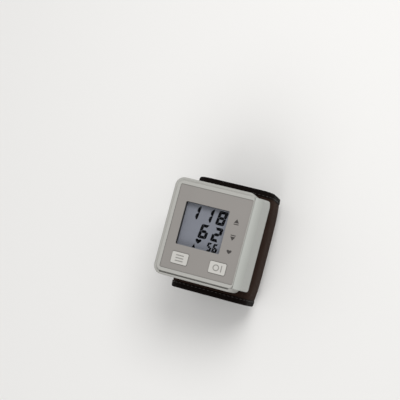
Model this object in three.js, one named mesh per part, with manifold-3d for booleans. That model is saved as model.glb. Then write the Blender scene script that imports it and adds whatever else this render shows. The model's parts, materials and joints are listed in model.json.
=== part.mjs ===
// A wrist blood pressure monitor, lying on the back of its closed cuff with its display up.
// Millimetres. +X is the display's right, +Y its top and +Z out of it. The origin is under the
// middle of the case, on the surface that the cuff lies on.

import * as THREE from 'three';
import { mergeVertices } from 'three/addons/utils/BufferGeometryUtils.js';
import Module from 'manifold-3d';

const wasm = await Module();
wasm.setup();

// Clearances: faces that seat, faces that slide, faces of soft layers, the overrun of a cut and
// the least radius of a corner.
const fit = { seat: 0.15, slide: 0.2, rest: 0.3, over: 1, sharp: 0.05 };

// Counts of facets: on a round corner, an edge rounding, a corner of the cuff, along a hose, on a
// turn of a coil, and round rods and wires.
const facets = {
  cornerSteps: 6,
  edgeSteps: 3,
  loopSteps: 7,
  hoseSteps: 12,
  coilSteps: 8,
  largeSides: 20,
  roundSides: 16,
  smallSides: 10,
  wireSides: 5,
};

// The cuff's outer face, seen along Y, is a rounded box. Its near side carries the case and its
// far side lies on the surface. The band is open on the left, under the near corner's arm.
const cuff = {
  width: 55.2,
  height: 46,
  breadth: 78.4,
  shift: 2.8,
  nearRadius: 10,
  farRadius: 16,
  armLength: 8,
  rimLength: 19.2,
  rimFall: 0.8,
  farEndDegrees: 20,
};

// The band's layers from the outside in, the hem that closes its ends and the tape on its rims.
const layer = { cover: 1.6, curler: 1, bladder: 2, lining: 0.9, hem: 1.4 };
const tape = { thickness: 0.35, web: 0.7, width: 3.5 };
const bladder = { rimInset: 5, endInset: 6 };
const curler = { rimInset: 2, endInset: 0.3 };

// The tail of the cuff, sewn on at its low end, and the hook pad inside its tip.
const strap = {
  width: 64,
  thickness: 1.6,
  seamDegrees: 35,
  overlap: 14,
  tipRadius: 8,
  edge: 0.4,
};
const hook = { thickness: 0.8, width: 54, length: 11, tipInset: 1.5 };

// The two stacked cells, each with its nub, and the springs and plates at their ends.
const cell = { length: 44.5, radius: 5.25, nubRadius: 1.9, nubLength: 1, edge: 0.4 };
const spring = { wire: 0.5, radius: 3.2, turns: 3.5, pitch: 0.97 };
const contact = { thickness: 0.4, width: 9, height: 9 };

// The bay that holds the cells.
const bay = { wall: 1.1, innerWall: 1.5, sideGap: 0.25, doorGap: 0.35, endRoom: 2.8 };

// The battery cover on the right side of the case.
const door = {
  width: 5.15,
  wall: 1.3,
  cornerRadius: 1.6,
  endRound: 0.8,
  tongueSpacing: 28,
  tongueWidth: 8,
  tongueThickness: 0.8,
  tongueReach: 4.6,
};

// The moulded case: a main body and a raised tier that frames the panel.
const shell = {
  wall: 1.8,
  floor: 1.6,
  headroom: 1.45,
  plate: 1.75,
  tierRise: 1.8,
  tierStep: 2.4,
  rim: 2.35,
  rightRim: 0.65,
  rearHeight: 13.7,
  endMargin: 2.7,
  leftRadius: 6,
  rightRadius: 4.5,
  backRound: 2.5,
  bandRound: 1.4,
  tierRadius: 4.2,
  tierRightRadius: 2.8,
  tierRound: 0.4,
  lipThickness: 0.75,
  lipHeight: 1.1,
};

// Grey panel with the window and the clear lens under it.
const panel = { thickness: 0.8, sink: 0.4, radius: 0.8 };
const screen = { width: 30.1, height: 28.9, left: 6.3, top: 10.4, radius: 0.8 };
const lens = { thickness: 1.05, lap: 1.2, opening: 0.8 };

// The liquid crystal cell, its black frame and the rubber contact strips under it.
const crystal = { thickness: 2.2, lap: 3, radius: 0.3 };
const frame = { flange: 1.05, wall: 1.1, radius: 1.2, bayRoom: 1.55 };
const zebra = { height: 2.2, width: 1.6, endInset: 2 };

// The circuit board and what is soldered to it.
const board = { thickness: 1.2, sideGap: 1.9, endGap: 1.4, bayGap: 0.2, pumpGap: 1.8 };
const chip = { size: 12, height: 1.6, y: -8, sensorGap: 0.25, sensorLap: 0.25 };
const sensor = { size: 7.5, height: 3.85, bayRoom: 3.35, nippleLength: 3 };
const buzzer = { radius: 6, height: 3.4, bayRoom: 2.9, holeRadius: 1 };

// The two keys, the tact switches under them and the switches' plungers.
const key = {
  width: 11.4,
  height: 7.8,
  radius: 1,
  proud: 0.7,
  round: 0.4,
  ear: 0.9,
  frameGap: 0.7,
  bottom: 4.25,
  leftInset: 6.1,
  bayGap: 1.25,
  travel: 0.5,
  stemWidth: 4,
};
const tact = { size: 6, height: 3.1, plungerRadius: 1.7, plungerRise: 0.85, plungerDepth: 0.75 };

// The air pump: motor, crank housing and diaphragm head on one axis along Y.
const pump = {
  radius: 6.5,
  lift: 0.8,
  sideRoom: 1.7,
  screwGap: 0.5,
  motorLength: 20,
  bossRadius: 2.2,
  bossLength: 1.2,
  housingLength: 6,
  housingWall: 1.5,
  housingFloor: 0.9,
  headLength: 8,
  headStep: 3,
  headRadius: 5.2,
  cradleSide: 1.2,
  cradleThickness: 1.6,
  cradleSpacing: 12,
};
const crank = {
  shaftRadius: 1,
  shaftDepth: 3,
  discRadius: 3.6,
  discThickness: 1.8,
  throwOut: 1.9,
  pinRadius: 0.8,
  pinLength: 1.6,
};

// The exhaust valve with its sprung plunger.
const valve = {
  width: 9.5,
  length: 14,
  height: 10,
  x: -4.25,
  endRoom: 9,
  nozzleHeight: 5.2,
  ribHeight: 3,
  ribThickness: 1.2,
};
const stopper = { radius: 1, boreDepth: 6, headRadius: 2.4, headThickness: 0.8, travel: 0.6 };

// Air lines: nipples, hoses and the manifold that joins them.
const hose = { nipple: 1, passage: 0.5, wall: 0.85, nippleLength: 3.2, beyond: 1 };
hose.bore = hose.nipple + fit.seat;
hose.radius = hose.bore + hose.wall;
hose.straight = hose.nippleLength + hose.beyond;
const manifold = {
  radius: 2.6,
  headRoom: 10.25,
  nozzleGap: 0.4,
  tubeGap: 0.5,
  valveX: -6.4,
  cuffX: -3,
  saddle: 1.4,
};
const nozzle = { flangeRadius: 2.9, flangeThickness: 0.8, neckRadius: 1.9, neckRise: 0.3, barb: 2.6 };

// Posts of the curler that pass up into the case, and the rings that hold them there.
const post = { radius: 1.6, pumpGap: 1.2, bayGap: 2.5, rise: 2.7 };
const retainer = { radius: 3.4, thickness: 1.2 };

// Screws that close the case from behind.
const screw = {
  radius: 1,
  headRadius: 2,
  headHeight: 1.4,
  sink: 0.65,
  length: 17.6,
  recess: 0.5,
  recessRadius: 0.9,
};
const boss = { frontRadius: 2.6, wallGap: 0.8, bite: 0.4 };
boss.inset = boss.frontRadius + boss.wallGap;
boss.rearRadius = boss.inset + boss.bite;
boss.seat = screw.sink + screw.headHeight + fit.seat;
const rib = { width: 1.6, depth: 2.3, screwGap: 1.9 };
const stake = { radius: 1.3, endRoom: 2.85 };

// Depths of the layers' outer faces under the cuff's outer face.
const depth = { curler: layer.cover + fit.seat };
depth.bladder = depth.curler + layer.curler + fit.seat;
depth.lining = depth.bladder + layer.bladder + fit.seat;
depth.inside = depth.lining + layer.lining;

// Heights above the surface, from the cuff up to the front of the case.
const level = { back: cuff.height + fit.rest };
level.floor = level.back + shell.floor;
level.lowCell = level.floor + fit.slide + cell.radius;
level.highCell = level.lowCell + 2 * cell.radius + fit.slide;
level.pump = level.floor + pump.lift + pump.radius;
const displayStack = board.thickness + zebra.height + crystal.thickness + frame.flange + 4 * fit.seat;
level.under = Math.max(
  level.highCell + cell.radius + shell.headroom,
  level.pump + pump.radius + board.pumpGap + displayStack,
);
level.band = level.under + shell.plate;
level.tier = level.band + shell.tierRise;
level.parting = level.back + shell.rearHeight;
level.panelTop = level.tier - panel.sink;
level.panelBase = level.panelTop - panel.thickness;
level.recess = level.panelBase - fit.seat;
level.lensFloor = level.recess - lens.thickness - fit.seat;
level.frameTop = level.under - fit.seat;
level.crystalTop = level.frameTop - frame.flange - fit.seat;
level.crystalBase = level.crystalTop - crystal.thickness;
level.boardTop = level.crystalBase - 2 * fit.seat - zebra.height;
level.boardBase = level.boardTop - board.thickness;
level.tactTop = level.boardTop + fit.seat + tact.height;
level.plungerTop = level.tactTop + tact.plungerRise;
level.nozzleTop = level.floor + nozzle.neckRise + nozzle.barb;
level.manifold = level.nozzleTop + manifold.nozzleGap + hose.nippleLength + manifold.radius;
level.doorBase = level.floor + fit.rest;
level.bayTop = level.frameTop - key.ear - key.travel - fit.rest;

// Lengths along Y: the cells and their contacts set the bay, and the bay sets the cover and the
// case, unless the window and the keys under it need more.
const springLength = spring.turns * spring.pitch + 2 * spring.wire;
const springRoom = springLength + 2 * fit.seat + contact.thickness;
const nubRoom = 2 * fit.seat + contact.thickness;
const reach = { bay: (cell.length + springRoom + nubRoom) / 2 };
const displaySide = crystal.lap + fit.seat + frame.wall;
const keyDrop = displaySide + key.frameGap;
const panelLength = screen.top + screen.height + keyDrop + key.height + key.bottom;
const panelEnds = fit.seat + shell.rim + shell.tierStep - shell.endMargin;
reach.door = Math.max(
  reach.bay + bay.wall + bay.endRoom + door.wall,
  panelLength / 2 + panelEnds,
);
reach.doorInside = reach.door - door.wall;
reach.case = reach.door + shell.endMargin;
reach.tier = reach.case - shell.tierStep;
reach.panel = reach.tier - shell.rim - fit.seat;

// Places along X: the display and the bay beside it set the case's width.
const bayWidth = bay.innerWall + bay.sideGap + 2 * cell.radius + bay.doorGap + door.wall;
const displayWidth = shell.tierStep + shell.rim + fit.seat + screen.left + screen.width + displaySide;
const caseWidth = displayWidth + frame.bayRoom + bayWidth;
const side = { left: -caseWidth / 2, right: caseWidth / 2 };
side.doorLeft = side.right - door.width;
side.caseRight = side.doorLeft - fit.seat;
side.tierLeft = side.left + shell.tierStep;
side.panelLeft = side.tierLeft + shell.rim + fit.seat;
side.panelRight = side.caseRight - shell.rightRim - fit.seat;
side.cell = side.right - door.wall - bay.doorGap - cell.radius;
side.bayLeft = side.cell - cell.radius - bay.sideGap;
side.bayOuter = side.bayLeft - bay.innerWall;
side.bayRight = side.right - door.wall - fit.rest;
side.pump = side.left + shell.wall + pump.sideRoom + pump.radius;
side.leftScrew = side.left + shell.wall + boss.inset;
side.rightScrew = side.bayOuter - fit.slide - boss.frontRadius;
side.leftPost = side.pump + pump.radius + post.pumpGap + post.radius;
side.rightPost = side.bayOuter - post.bayGap - post.radius;
side.sensor = side.bayOuter - sensor.bayRoom - sensor.size / 2;
side.buzzer = side.bayOuter - buzzer.bayRoom - buzzer.radius;
side.chip = side.sensor - sensor.size / 2 + chip.sensorLap - chip.size / 2;
side.leftKey = side.panelLeft + key.leftInset + key.width / 2;
side.rightKey = side.bayOuter - key.bayGap - tact.size / 2;
side.rib = side.rightScrew - boss.frontRadius - rib.screwGap - rib.width / 2;
const screwReach = reach.case - shell.wall - boss.inset;
const windowBox = {
  x0: side.panelLeft + screen.left,
  x1: side.panelLeft + screen.left + screen.width,
  y0: reach.panel - screen.top - screen.height,
  y1: reach.panel - screen.top,
};
const keyY = windowBox.y0 - keyDrop - key.height / 2;
const sensorY = chip.y + chip.size / 2 + chip.sensorGap + sensor.size / 2;
const buzzerY = chip.y - chip.size / 2 - buzzer.radius;
const boardReach = reach.case - shell.wall - board.endGap;
const pumpStart = -screwReach + boss.rearRadius + pump.screwGap;
const housingStart = pumpStart + pump.motorLength + fit.seat;
const headStart = housingStart + pump.housingLength + fit.seat;
const manifoldY = headStart + pump.headLength + manifold.headRoom;
const manifoldSide = hose.radius + manifold.tubeGap + 1.5 * manifold.saddle;
const manifoldEnds = [manifold.valveX - manifoldSide, manifold.cuffX + manifoldSide];
const valveStart = -reach.case + valve.endRoom;
const valveTop = level.floor + fit.seat + valve.height;

// A solid from vertices and triangles, with its faces turned outwards.
function closed(vertices, triangles) {
  const build = (corners) => {
    const mesh = new wasm.Mesh({
      numProp: 3,
      vertProperties: new Float32Array(vertices),
      triVerts: new Uint32Array(corners),
    });
    mesh.merge();
    return new wasm.Manifold(mesh);
  };
  const solid = build(triangles);
  return solid.volume() > 0 ? solid : build([...triangles].reverse());
}

function solidOf(geometry) {
  const bare = geometry.clone();
  bare.deleteAttribute('normal');
  bare.deleteAttribute('uv');
  const merged = mergeVertices(bare);
  return closed(merged.attributes.position.array, merged.index.array);
}

function geometryOf(solid) {
  const mesh = solid.getMesh();
  const geometry = new THREE.BufferGeometry();
  geometry.setAttribute('position', new THREE.BufferAttribute(mesh.vertProperties, mesh.numProp));
  geometry.setIndex(new THREE.BufferAttribute(mesh.triVerts, 1));
  geometry.computeVertexNormals();
  return geometry;
}

function join(...solids) {
  return solids.reduce((whole, solid) => whole.add(solid));
}

function cut(solid, ...tools) {
  return tools.reduce((rest, tool) => rest.subtract(tool), solid);
}

// A solid skinned over rings of equal count; the outline is the rings' flat shape for the caps.
function loft(rings, outline) {
  const count = outline.length;
  const corners = [];
  for (let low = 0; low < (rings.length - 1) * count; low += count) {
    for (let from = 0; from < count; from += 1) {
      const to = (from + 1) % count;
      corners.push(low + from, low + to, low + count + to);
      corners.push(low + from, low + count + to, low + count + from);
    }
  }
  const last = (rings.length - 1) * count;
  for (const [a, b, c] of THREE.ShapeUtils.triangulateShape(outline, [])) {
    const forward = THREE.ShapeUtils.area(outline) > 0 ? [a, b, c] : [c, b, a];
    corners.push(forward[2], forward[1], forward[0]);
    corners.push(last + forward[0], last + forward[1], last + forward[2]);
  }
  return closed(rings.flat().flatMap((point) => point.toArray()), corners);
}

// The outline of a box with round corners, anticlockwise from low left, drawn in by an inset.
function roundedRing(box, inset = 0) {
  const [x0, x1] = [box.x0 + inset, box.x1 - inset];
  const [y0, y1] = [box.y0 + inset, box.y1 - inset];
  const radii = box.radii.map((radius) => Math.max(radius - inset, fit.sharp));
  const corners = [
    [x0 + radii[0], y0 + radii[0]],
    [x1 - radii[1], y0 + radii[1]],
    [x1 - radii[2], y1 - radii[2]],
    [x0 + radii[3], y1 - radii[3]],
  ];
  return corners.flatMap(([x, y], corner) => {
    const points = [];
    for (let step = 0; step <= facets.cornerSteps; step += 1) {
      const angle = Math.PI * (1 + (corner + step / facets.cornerSteps) / 2);
      const point = new THREE.Vector2(Math.cos(angle), Math.sin(angle)).multiplyScalar(radii[corner]);
      points.push(point.add(new THREE.Vector2(x, y)));
    }
    return points;
  });
}

// An upright block on a rounded outline, with its low and high edges rounded if asked.
function slab(box, z0, z1, { inset = 0, lowRound = 0, highRound = 0 } = {}) {
  const levels = [];
  for (let step = 0; step <= (lowRound > 0 ? facets.edgeSteps : 0); step += 1) {
    const angle = (Math.PI / 2) * (lowRound > 0 ? step / facets.edgeSteps : 1);
    levels.push([z0 + lowRound * (1 - Math.cos(angle)), inset + lowRound * (1 - Math.sin(angle))]);
  }
  for (let step = highRound > 0 ? facets.edgeSteps : 0; step >= 0; step -= 1) {
    const angle = (Math.PI / 2) * (highRound > 0 ? step / facets.edgeSteps : 1);
    levels.push([z1 - highRound * (1 - Math.cos(angle)), inset + highRound * (1 - Math.sin(angle))]);
  }
  const rings = levels.map(([z, within]) =>
    roundedRing(box, within).map((point) => new THREE.Vector3(point.x, point.y, z)));
  return loft(rings, roundedRing(box, inset));
}

function box(x, y, z) {
  const [width, length, height] = [x, y, z].map(([from, to]) => to - from);
  const middle = [x, y, z].map(([from, to]) => (from + to) / 2);
  return solidOf(new THREE.BoxGeometry(width, length, height).translate(...middle));
}

// A straight round rod between two places.
function rod(from, to, radius, sides) {
  const start = new THREE.Vector3(...from);
  const way = new THREE.Vector3(...to).sub(start);
  const geometry = new THREE.CylinderGeometry(radius, radius, way.length(), sides);
  geometry.translate(0, way.length() / 2, 0);
  const upright = new THREE.Vector3(0, 1, 0);
  geometry.applyQuaternion(new THREE.Quaternion().setFromUnitVectors(upright, way.clone().normalize()));
  geometry.translate(...from);
  return solidOf(geometry);
}

// A turned solid: a profile of [radius, height] pairs about +Z.
function turned(profile, sides) {
  const points = profile.map(([radius, height]) => new THREE.Vector2(radius, height));
  return solidOf(new THREE.LatheGeometry(points, sides).rotateX(Math.PI / 2));
}

// Corners of the cuff's loop, seen along Y.
function loopCorners() {
  const nearZ = cuff.height - cuff.nearRadius;
  const corner = (way, radius, z) => ({ x: cuff.shift + way * (cuff.width / 2 - radius), z, radius });
  return {
    nearLeft: corner(-1, cuff.nearRadius, nearZ),
    nearRight: corner(1, cuff.nearRadius, nearZ),
    farRight: corner(1, cuff.farRadius, cuff.farRadius),
    farLeft: corner(-1, cuff.farRadius, cuff.farRadius),
  };
}

const armEnd = loopCorners().nearLeft.z - cuff.armLength;

// A station is a corner's middle and radius and the angle at which the loop is crossed.
function arcStations(corner, fromDegrees, toDegrees, count) {
  return Array.from({ length: count + 1 }, (_, step) => ({
    ...corner,
    angle: THREE.MathUtils.degToRad(THREE.MathUtils.lerp(fromDegrees, toDegrees, count ? step / count : 0)),
  }));
}

// Stations of the open band, from the arm's end over the top and round to the far left.
function bandStations(inset) {
  const corners = loopCorners();
  const short = THREE.MathUtils.radToDeg(inset / cuff.farRadius);
  return [
    ...arcStations({ ...corners.nearLeft, z: armEnd + inset }, 180, 180, 0),
    ...arcStations(corners.nearLeft, 180, 90, facets.loopSteps),
    ...arcStations(corners.nearRight, 90, 0, facets.loopSteps),
    ...arcStations(corners.farRight, 0, -90, facets.loopSteps),
    ...arcStations(corners.farLeft, -90, -180 + cuff.farEndDegrees + short, facets.loopSteps),
  ];
}

// A solid swept round the loop: sectionAt gives [depth, y] pairs for a station.
function sweep(stations, sectionAt) {
  const rings = stations.map((station, index) =>
    sectionAt(station, index).map(([deep, y]) => new THREE.Vector3(
      station.x + (station.radius - deep) * Math.cos(station.angle),
      y,
      station.z + (station.radius - deep) * Math.sin(station.angle),
    )));
  return loft(rings, sectionAt(stations[0], 0).map(([deep, y]) => new THREE.Vector2(deep, y)));
}

// How far the band draws in towards the wrist at a distance from its middle line.
function fall(y) {
  const past = Math.max(Math.abs(y) - (cuff.breadth / 2 - cuff.rimLength), 0);
  return cuff.rimFall * (past / cuff.rimLength) ** 2;
}

const layerReach = cuff.breadth / 2 - tape.web - fit.seat;

// The section of one layer across the band.
function layerSection(deep, thickness, half) {
  const flat = cuff.breadth / 2 - cuff.rimLength;
  const across = [-half, -(half + flat) / 2, -flat, flat, (half + flat) / 2, half];
  return [
    ...across.map((y) => [deep + fall(y), y]),
    ...across.reverse().map((y) => [deep + thickness + fall(y), y]),
  ];
}

function layerSolid(deep, thickness, half, inset) {
  const section = layerSection(deep, thickness, half);
  return sweep(bandStations(inset), () => section);
}

function hole(x, y, radius, z0, z1) {
  return rod([x, y, z0], [x, y, z1], radius, facets.roundSides);
}

// Through the cuff's top, where the posts and the nozzle pass.
function cuffTopHole(x, y, radius) {
  return hole(x, y, radius, cuff.height - depth.inside, level.floor);
}

function cuffOuterCover() {
  const pocket = layerSolid(layer.cover, depth.inside + fit.over, layerReach + fit.over, layer.hem);
  const holes = [side.leftPost, side.rightPost].map((x) => cuffTopHole(x, 0, post.radius + fit.rest));
  const body = layerSolid(0, depth.inside, layerReach, 0);
  return cut(body, pocket, ...holes, cuffTopHole(manifold.cuffX, manifoldY, nozzle.neckRadius + fit.rest));
}

// A stiff curved plate that springs the band round the wrist and carries the case's posts.
function cuffCurler() {
  const half = layerReach - curler.rimInset;
  const plate = layerSolid(depth.curler, layer.curler, half, layer.hem + curler.endInset);
  const drilled = cut(plate, cuffTopHole(manifold.cuffX, manifoldY, nozzle.flangeRadius + fit.rest));
  const root = cuff.height - depth.curler - layer.curler / 2;
  const posts = [side.leftPost, side.rightPost].map((x) =>
    rod([x, 0, root], [x, 0, level.floor + post.rise], post.radius, facets.roundSides));
  return join(drilled, ...posts);
}

function airBladder() {
  return layerSolid(depth.bladder, layer.bladder, layerReach - bladder.rimInset, bladder.endInset);
}

function cuffLining() {
  return layerSolid(depth.lining, layer.lining, layerReach, layer.hem + fit.seat);
}

// Tape folded over one rim of the band: a web across the layers' edges and a lap on each face.
function rimTape(way) {
  const rim = cuff.breadth / 2;
  const lap = rim - tape.width;
  const shoulder = rim - tape.web;
  const over = (y, out) => fall(y) - fit.seat - out;
  const under = (y, out) => depth.inside + fall(y) + fit.seat + out;
  const section = [
    [over(lap, tape.thickness), lap],
    [over(shoulder, tape.thickness), shoulder],
    [over(rim, 0), rim],
    [under(rim, 0), rim],
    [under(shoulder, tape.thickness), shoulder],
    [under(lap, tape.thickness), lap],
    [under(lap, 0), lap],
    [under(shoulder, 0), shoulder],
    [over(shoulder, 0), shoulder],
    [over(lap, 0), lap],
  ].map(([deep, y]) => [deep, way * y]);
  return sweep(bandStations(0), () => section);
}

const standoff = hook.thickness + 2 * fit.slide;

// The section of a strip that lies outside the loop, from one depth out to another.
function stripSection(inner, outer, half, edge) {
  return [
    [inner, -half],
    [outer + edge, -half],
    [outer, -half + edge],
    [outer, half - edge],
    [outer + edge, half],
    [inner, half],
  ];
}

// The tail: it starts close on the band at its seam, stands off over the hook pad and ends round.
function cuffStrap() {
  const corners = loopCorners();
  const rise = arcStations(corners.farLeft, 180 + strap.seamDegrees, 180, facets.loopSteps);
  const straight = armEnd + strap.overlap - strap.tipRadius;
  const tip = Array.from({ length: facets.cornerSteps + 1 }, (_, step) => {
    const angle = (Math.PI / 2) * (step / facets.cornerSteps);
    const [station] = arcStations(corners.nearLeft, 180, 180, 0);
    const drawn = strap.tipRadius * (1 - Math.cos(angle));
    return { ...station, z: straight + strap.tipRadius * Math.sin(angle), drawn };
  });
  return sweep([...rise, ...tip], (station, index) => {
    const share = Math.min(index / facets.loopSteps, 1);
    const inner = -THREE.MathUtils.lerp(fit.slide, standoff, share);
    return stripSection(inner, inner - strap.thickness, strap.width / 2 - (station.drawn ?? 0), strap.edge);
  });
}

function hookPatch() {
  const top = armEnd + strap.overlap - hook.tipInset;
  const stations = [top - hook.length, top].map((z) => ({ ...loopCorners().nearLeft, angle: Math.PI, z }));
  const section = stripSection(-fit.slide, -fit.slide - hook.thickness, hook.width / 2, strap.edge / 2);
  return sweep(stations, () => section);
}

// Flanged fitting that carries air from the bladder up into the case.
function cuffNozzle() {
  const base = cuff.height - depth.curler - layer.curler;
  const neckTop = level.floor + nozzle.neckRise;
  const profile = [
    [hose.passage, base],
    [nozzle.flangeRadius, base],
    [nozzle.flangeRadius, base + nozzle.flangeThickness],
    [nozzle.neckRadius, base + nozzle.flangeThickness],
    [nozzle.neckRadius, neckTop],
    [hose.nipple, neckTop],
    [hose.nipple, neckTop + nozzle.barb],
    [hose.passage, neckTop + nozzle.barb],
    [hose.passage, base],
  ];
  return turned(profile, facets.roundSides);
}

function postRetainer() {
  const profile = [
    [post.radius + fit.seat, 0],
    [retainer.radius, 0],
    [retainer.radius, retainer.thickness / 2],
    [(retainer.radius + post.radius) / 2, retainer.thickness],
    [post.radius + fit.seat, retainer.thickness],
    [post.radius + fit.seat, 0],
  ];
  return turned(profile, facets.roundSides);
}

const mainOutline = {
  x0: side.left,
  x1: side.caseRight,
  y0: -reach.case,
  y1: reach.case,
  radii: [shell.leftRadius, shell.rightRadius, shell.rightRadius, shell.leftRadius],
};
const tierOutline = {
  x0: side.tierLeft,
  x1: side.caseRight,
  y0: -reach.tier,
  y1: reach.tier,
  radii: [shell.tierRadius, shell.tierRightRadius, shell.tierRightRadius, shell.tierRadius],
};
const panelOutline = {
  x0: side.panelLeft,
  x1: side.panelRight,
  y0: -reach.panel,
  y1: reach.panel,
  radii: Array(4).fill(panel.radius),
};
const screwPlaces = [side.leftScrew, side.rightScrew].flatMap((x) => [[x, -screwReach], [x, screwReach]]);

function keyOutline(x, margin) {
  return {
    x0: x - key.width / 2 - margin,
    x1: x + key.width / 2 + margin,
    y0: keyY - key.height / 2 - margin,
    y1: keyY + key.height / 2 + margin,
    radii: Array(4).fill(key.radius + margin),
  };
}

function keyOpenings(z0, z1) {
  return [side.leftKey, side.rightKey].map((x) => slab(keyOutline(x, fit.slide), z0, z1));
}

// The gap at the parting line is shared by the two halves.
function rearShell() {
  const top = level.parting - fit.seat / 2;
  const sill = {
    x0: side.bayOuter,
    x1: side.right,
    y0: -reach.door,
    y1: reach.door,
    radii: [fit.over, door.cornerRadius, door.cornerRadius, fit.over],
  };
  const solid = join(
    slab(mainOutline, level.back, top, { lowRound: shell.backRound }),
    slab(sill, level.back, level.floor, { lowRound: shell.floor / 2 }),
  );
  const lip = slab(mainOutline, top - fit.over, top + shell.lipHeight, {
    inset: shell.wall - shell.lipThickness,
  });
  const inside = slab(mainOutline, level.floor, level.under, { inset: shell.wall });
  return cut(join(solid, lip), inside);
}

// Walls round the two cells, open to the right and to the front.
function bayWalls() {
  const outside = reach.bay + bay.wall;
  const heights = [level.back + fit.over, level.bayTop];
  const outer = box([side.bayOuter, side.bayRight], [-outside, outside], heights);
  const open = [side.bayLeft, side.right + fit.over];
  const inner = box(open, [-reach.bay, reach.bay], [level.floor, level.under]);
  return { outer, inner };
}

// Upright ribs on the end walls that carry the board.
function boardRibs() {
  const wallInside = reach.case - shell.wall;
  const foot = level.floor - fit.over / 2;
  const places = [-1, 1].flatMap((way) => [-side.rib, 0, side.rib].map((x) => [way, x]));
  return places.flatMap(([way, x]) => {
    const acrossX = [x - rib.width / 2, x + rib.width / 2];
    const acrossY = (from, to) => [way * from, way * to].sort((a, b) => a - b);
    const tip = acrossY(wallInside - rib.depth - fit.rest, wallInside - fit.rest);
    const root = acrossY(wallInside - rib.depth, wallInside + fit.over / 2);
    const high = box(acrossX, tip, [foot, level.boardBase - fit.seat]);
    const low = box(acrossX, root, [foot, level.parting - fit.over]);
    return [high, low];
  });
}

// Saddles under the pump's motor.
function pumpCradles() {
  const middle = pumpStart + pump.motorLength / 2;
  const half = pump.radius + pump.cradleSide;
  const bed = rod(
    [side.pump, pumpStart - fit.over, level.pump],
    [side.pump, pumpStart + pump.motorLength + fit.over, level.pump],
    pump.radius + fit.seat,
    facets.largeSides,
  );
  return [-1, 1].map((way) => {
    const y = middle + (way * pump.cradleSpacing) / 2;
    const plate = box(
      [side.pump - half, side.pump + half],
      [y - pump.cradleThickness / 2, y + pump.cradleThickness / 2],
      [level.floor - fit.over / 2, level.pump - pump.lift],
    );
    return cut(plate, bed);
  });
}

function manifoldSaddles() {
  const bed = rod(
    [manifoldEnds[0], manifoldY, level.manifold],
    [manifoldEnds[1], manifoldY, level.manifold],
    manifold.radius + fit.seat,
    facets.roundSides,
  );
  return manifoldEnds.map((end, index) => {
    const x = end + (index ? -manifold.saddle : manifold.saddle);
    const plate = box(
      [x - manifold.saddle / 2, x + manifold.saddle / 2],
      [manifoldY - manifold.radius - manifold.saddle, manifoldY + manifold.radius + manifold.saddle],
      [level.floor - fit.over / 2, level.manifold],
    );
    return cut(plate, bed);
  });
}

function valveRibs() {
  return [-1, 1].map((way) => {
    const inner = valve.x + way * (valve.width / 2 + fit.slide);
    const across = [inner, inner + way * valve.ribThickness].sort((a, b) => a - b);
    const heights = [level.floor - fit.over / 2, level.floor + valve.ribHeight];
    return box(across, [valveStart, valveStart + valve.length], heights);
  });
}

function rearCase() {
  const { outer, inner } = bayWalls();
  const top = level.parting - fit.seat / 2;
  const bosses = screwPlaces.map(([x, y]) => hole(x, y, boss.rearRadius, level.back + boss.seat / 2, top));
  const seats = screwPlaces.flatMap(([x, y]) => [
    hole(x, y, screw.headRadius + fit.rest, level.back - fit.over, level.back + boss.seat),
    hole(x, y, screw.radius + fit.seat, level.back, level.parting + fit.over),
  ]);
  const fittings = [...boardRibs(), ...pumpCradles(), ...manifoldSaddles(), ...valveRibs()];
  const body = join(rearShell(), outer, ...bosses, ...fittings);
  const throughFloor = (x, y, radius) => hole(x, y, radius, level.back - fit.over, level.floor + fit.over);
  const posts = [side.leftPost, side.rightPost].map((x) => throughFloor(x, 0, post.radius + fit.rest));
  const air = throughFloor(manifold.cuffX, manifoldY, nozzle.neckRadius + fit.rest);
  return cut(body, inner, ...seats, ...posts, air);
}

// The shelf that reaches under the battery cover's round edge.
function coverShelf() {
  const radius = door.width - door.wall - fit.rest;
  const middle = level.tier - door.width;
  const start = Math.asin((level.under - middle) / radius);
  const shape = new THREE.Shape();
  shape.moveTo(side.caseRight - shell.wall, level.under);
  shape.lineTo(side.doorLeft + radius * Math.cos(start), level.under);
  shape.absarc(side.doorLeft, middle, radius, start, Math.PI / 2, false);
  shape.lineTo(side.caseRight - shell.wall, middle + radius);
  const length = 2 * (reach.doorInside - door.endRound / 2);
  return profileAlongY(shape, length);
}

// A shape drawn in X and Z, drawn out evenly both ways along Y.
function profileAlongY(shape, length) {
  const settings = { depth: length, bevelEnabled: false, curveSegments: facets.cornerSteps + 2 };
  const geometry = new THREE.ExtrudeGeometry(shape, settings);
  return solidOf(geometry.rotateX(Math.PI / 2).translate(0, length / 2, 0));
}

function frontShell() {
  const base = level.parting + fit.seat / 2;
  const body = join(
    slab(mainOutline, base, level.band, { highRound: shell.bandRound }),
    slab(tierOutline, level.band - fit.over, level.tier, { highRound: shell.tierRound }),
    coverShelf(),
  );
  const inside = slab(mainOutline, base - fit.over, level.under, { inset: shell.wall });
  const lipRoom = slab(mainOutline, base - fit.over, base + shell.lipHeight + fit.rest, {
    inset: shell.wall - shell.lipThickness - fit.seat,
  });
  const passage = box(
    [side.bayOuter - fit.rest, side.right + fit.over],
    [-reach.bay - bay.wall - fit.rest, reach.bay + bay.wall + fit.rest],
    [base - fit.over, level.under],
  );
  return cut(body, inside, lipRoom, passage);
}

// A block on the window's outline, grown by a margin.
function windowSlab(margin, z0, z1, radius = screen.radius + margin) {
  const grown = {
    x0: windowBox.x0 - margin,
    x1: windowBox.x1 + margin,
    y0: windowBox.y0 - margin,
    y1: windowBox.y1 + margin,
    radii: Array(4).fill(radius),
  };
  return slab(grown, z0, z1);
}

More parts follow.
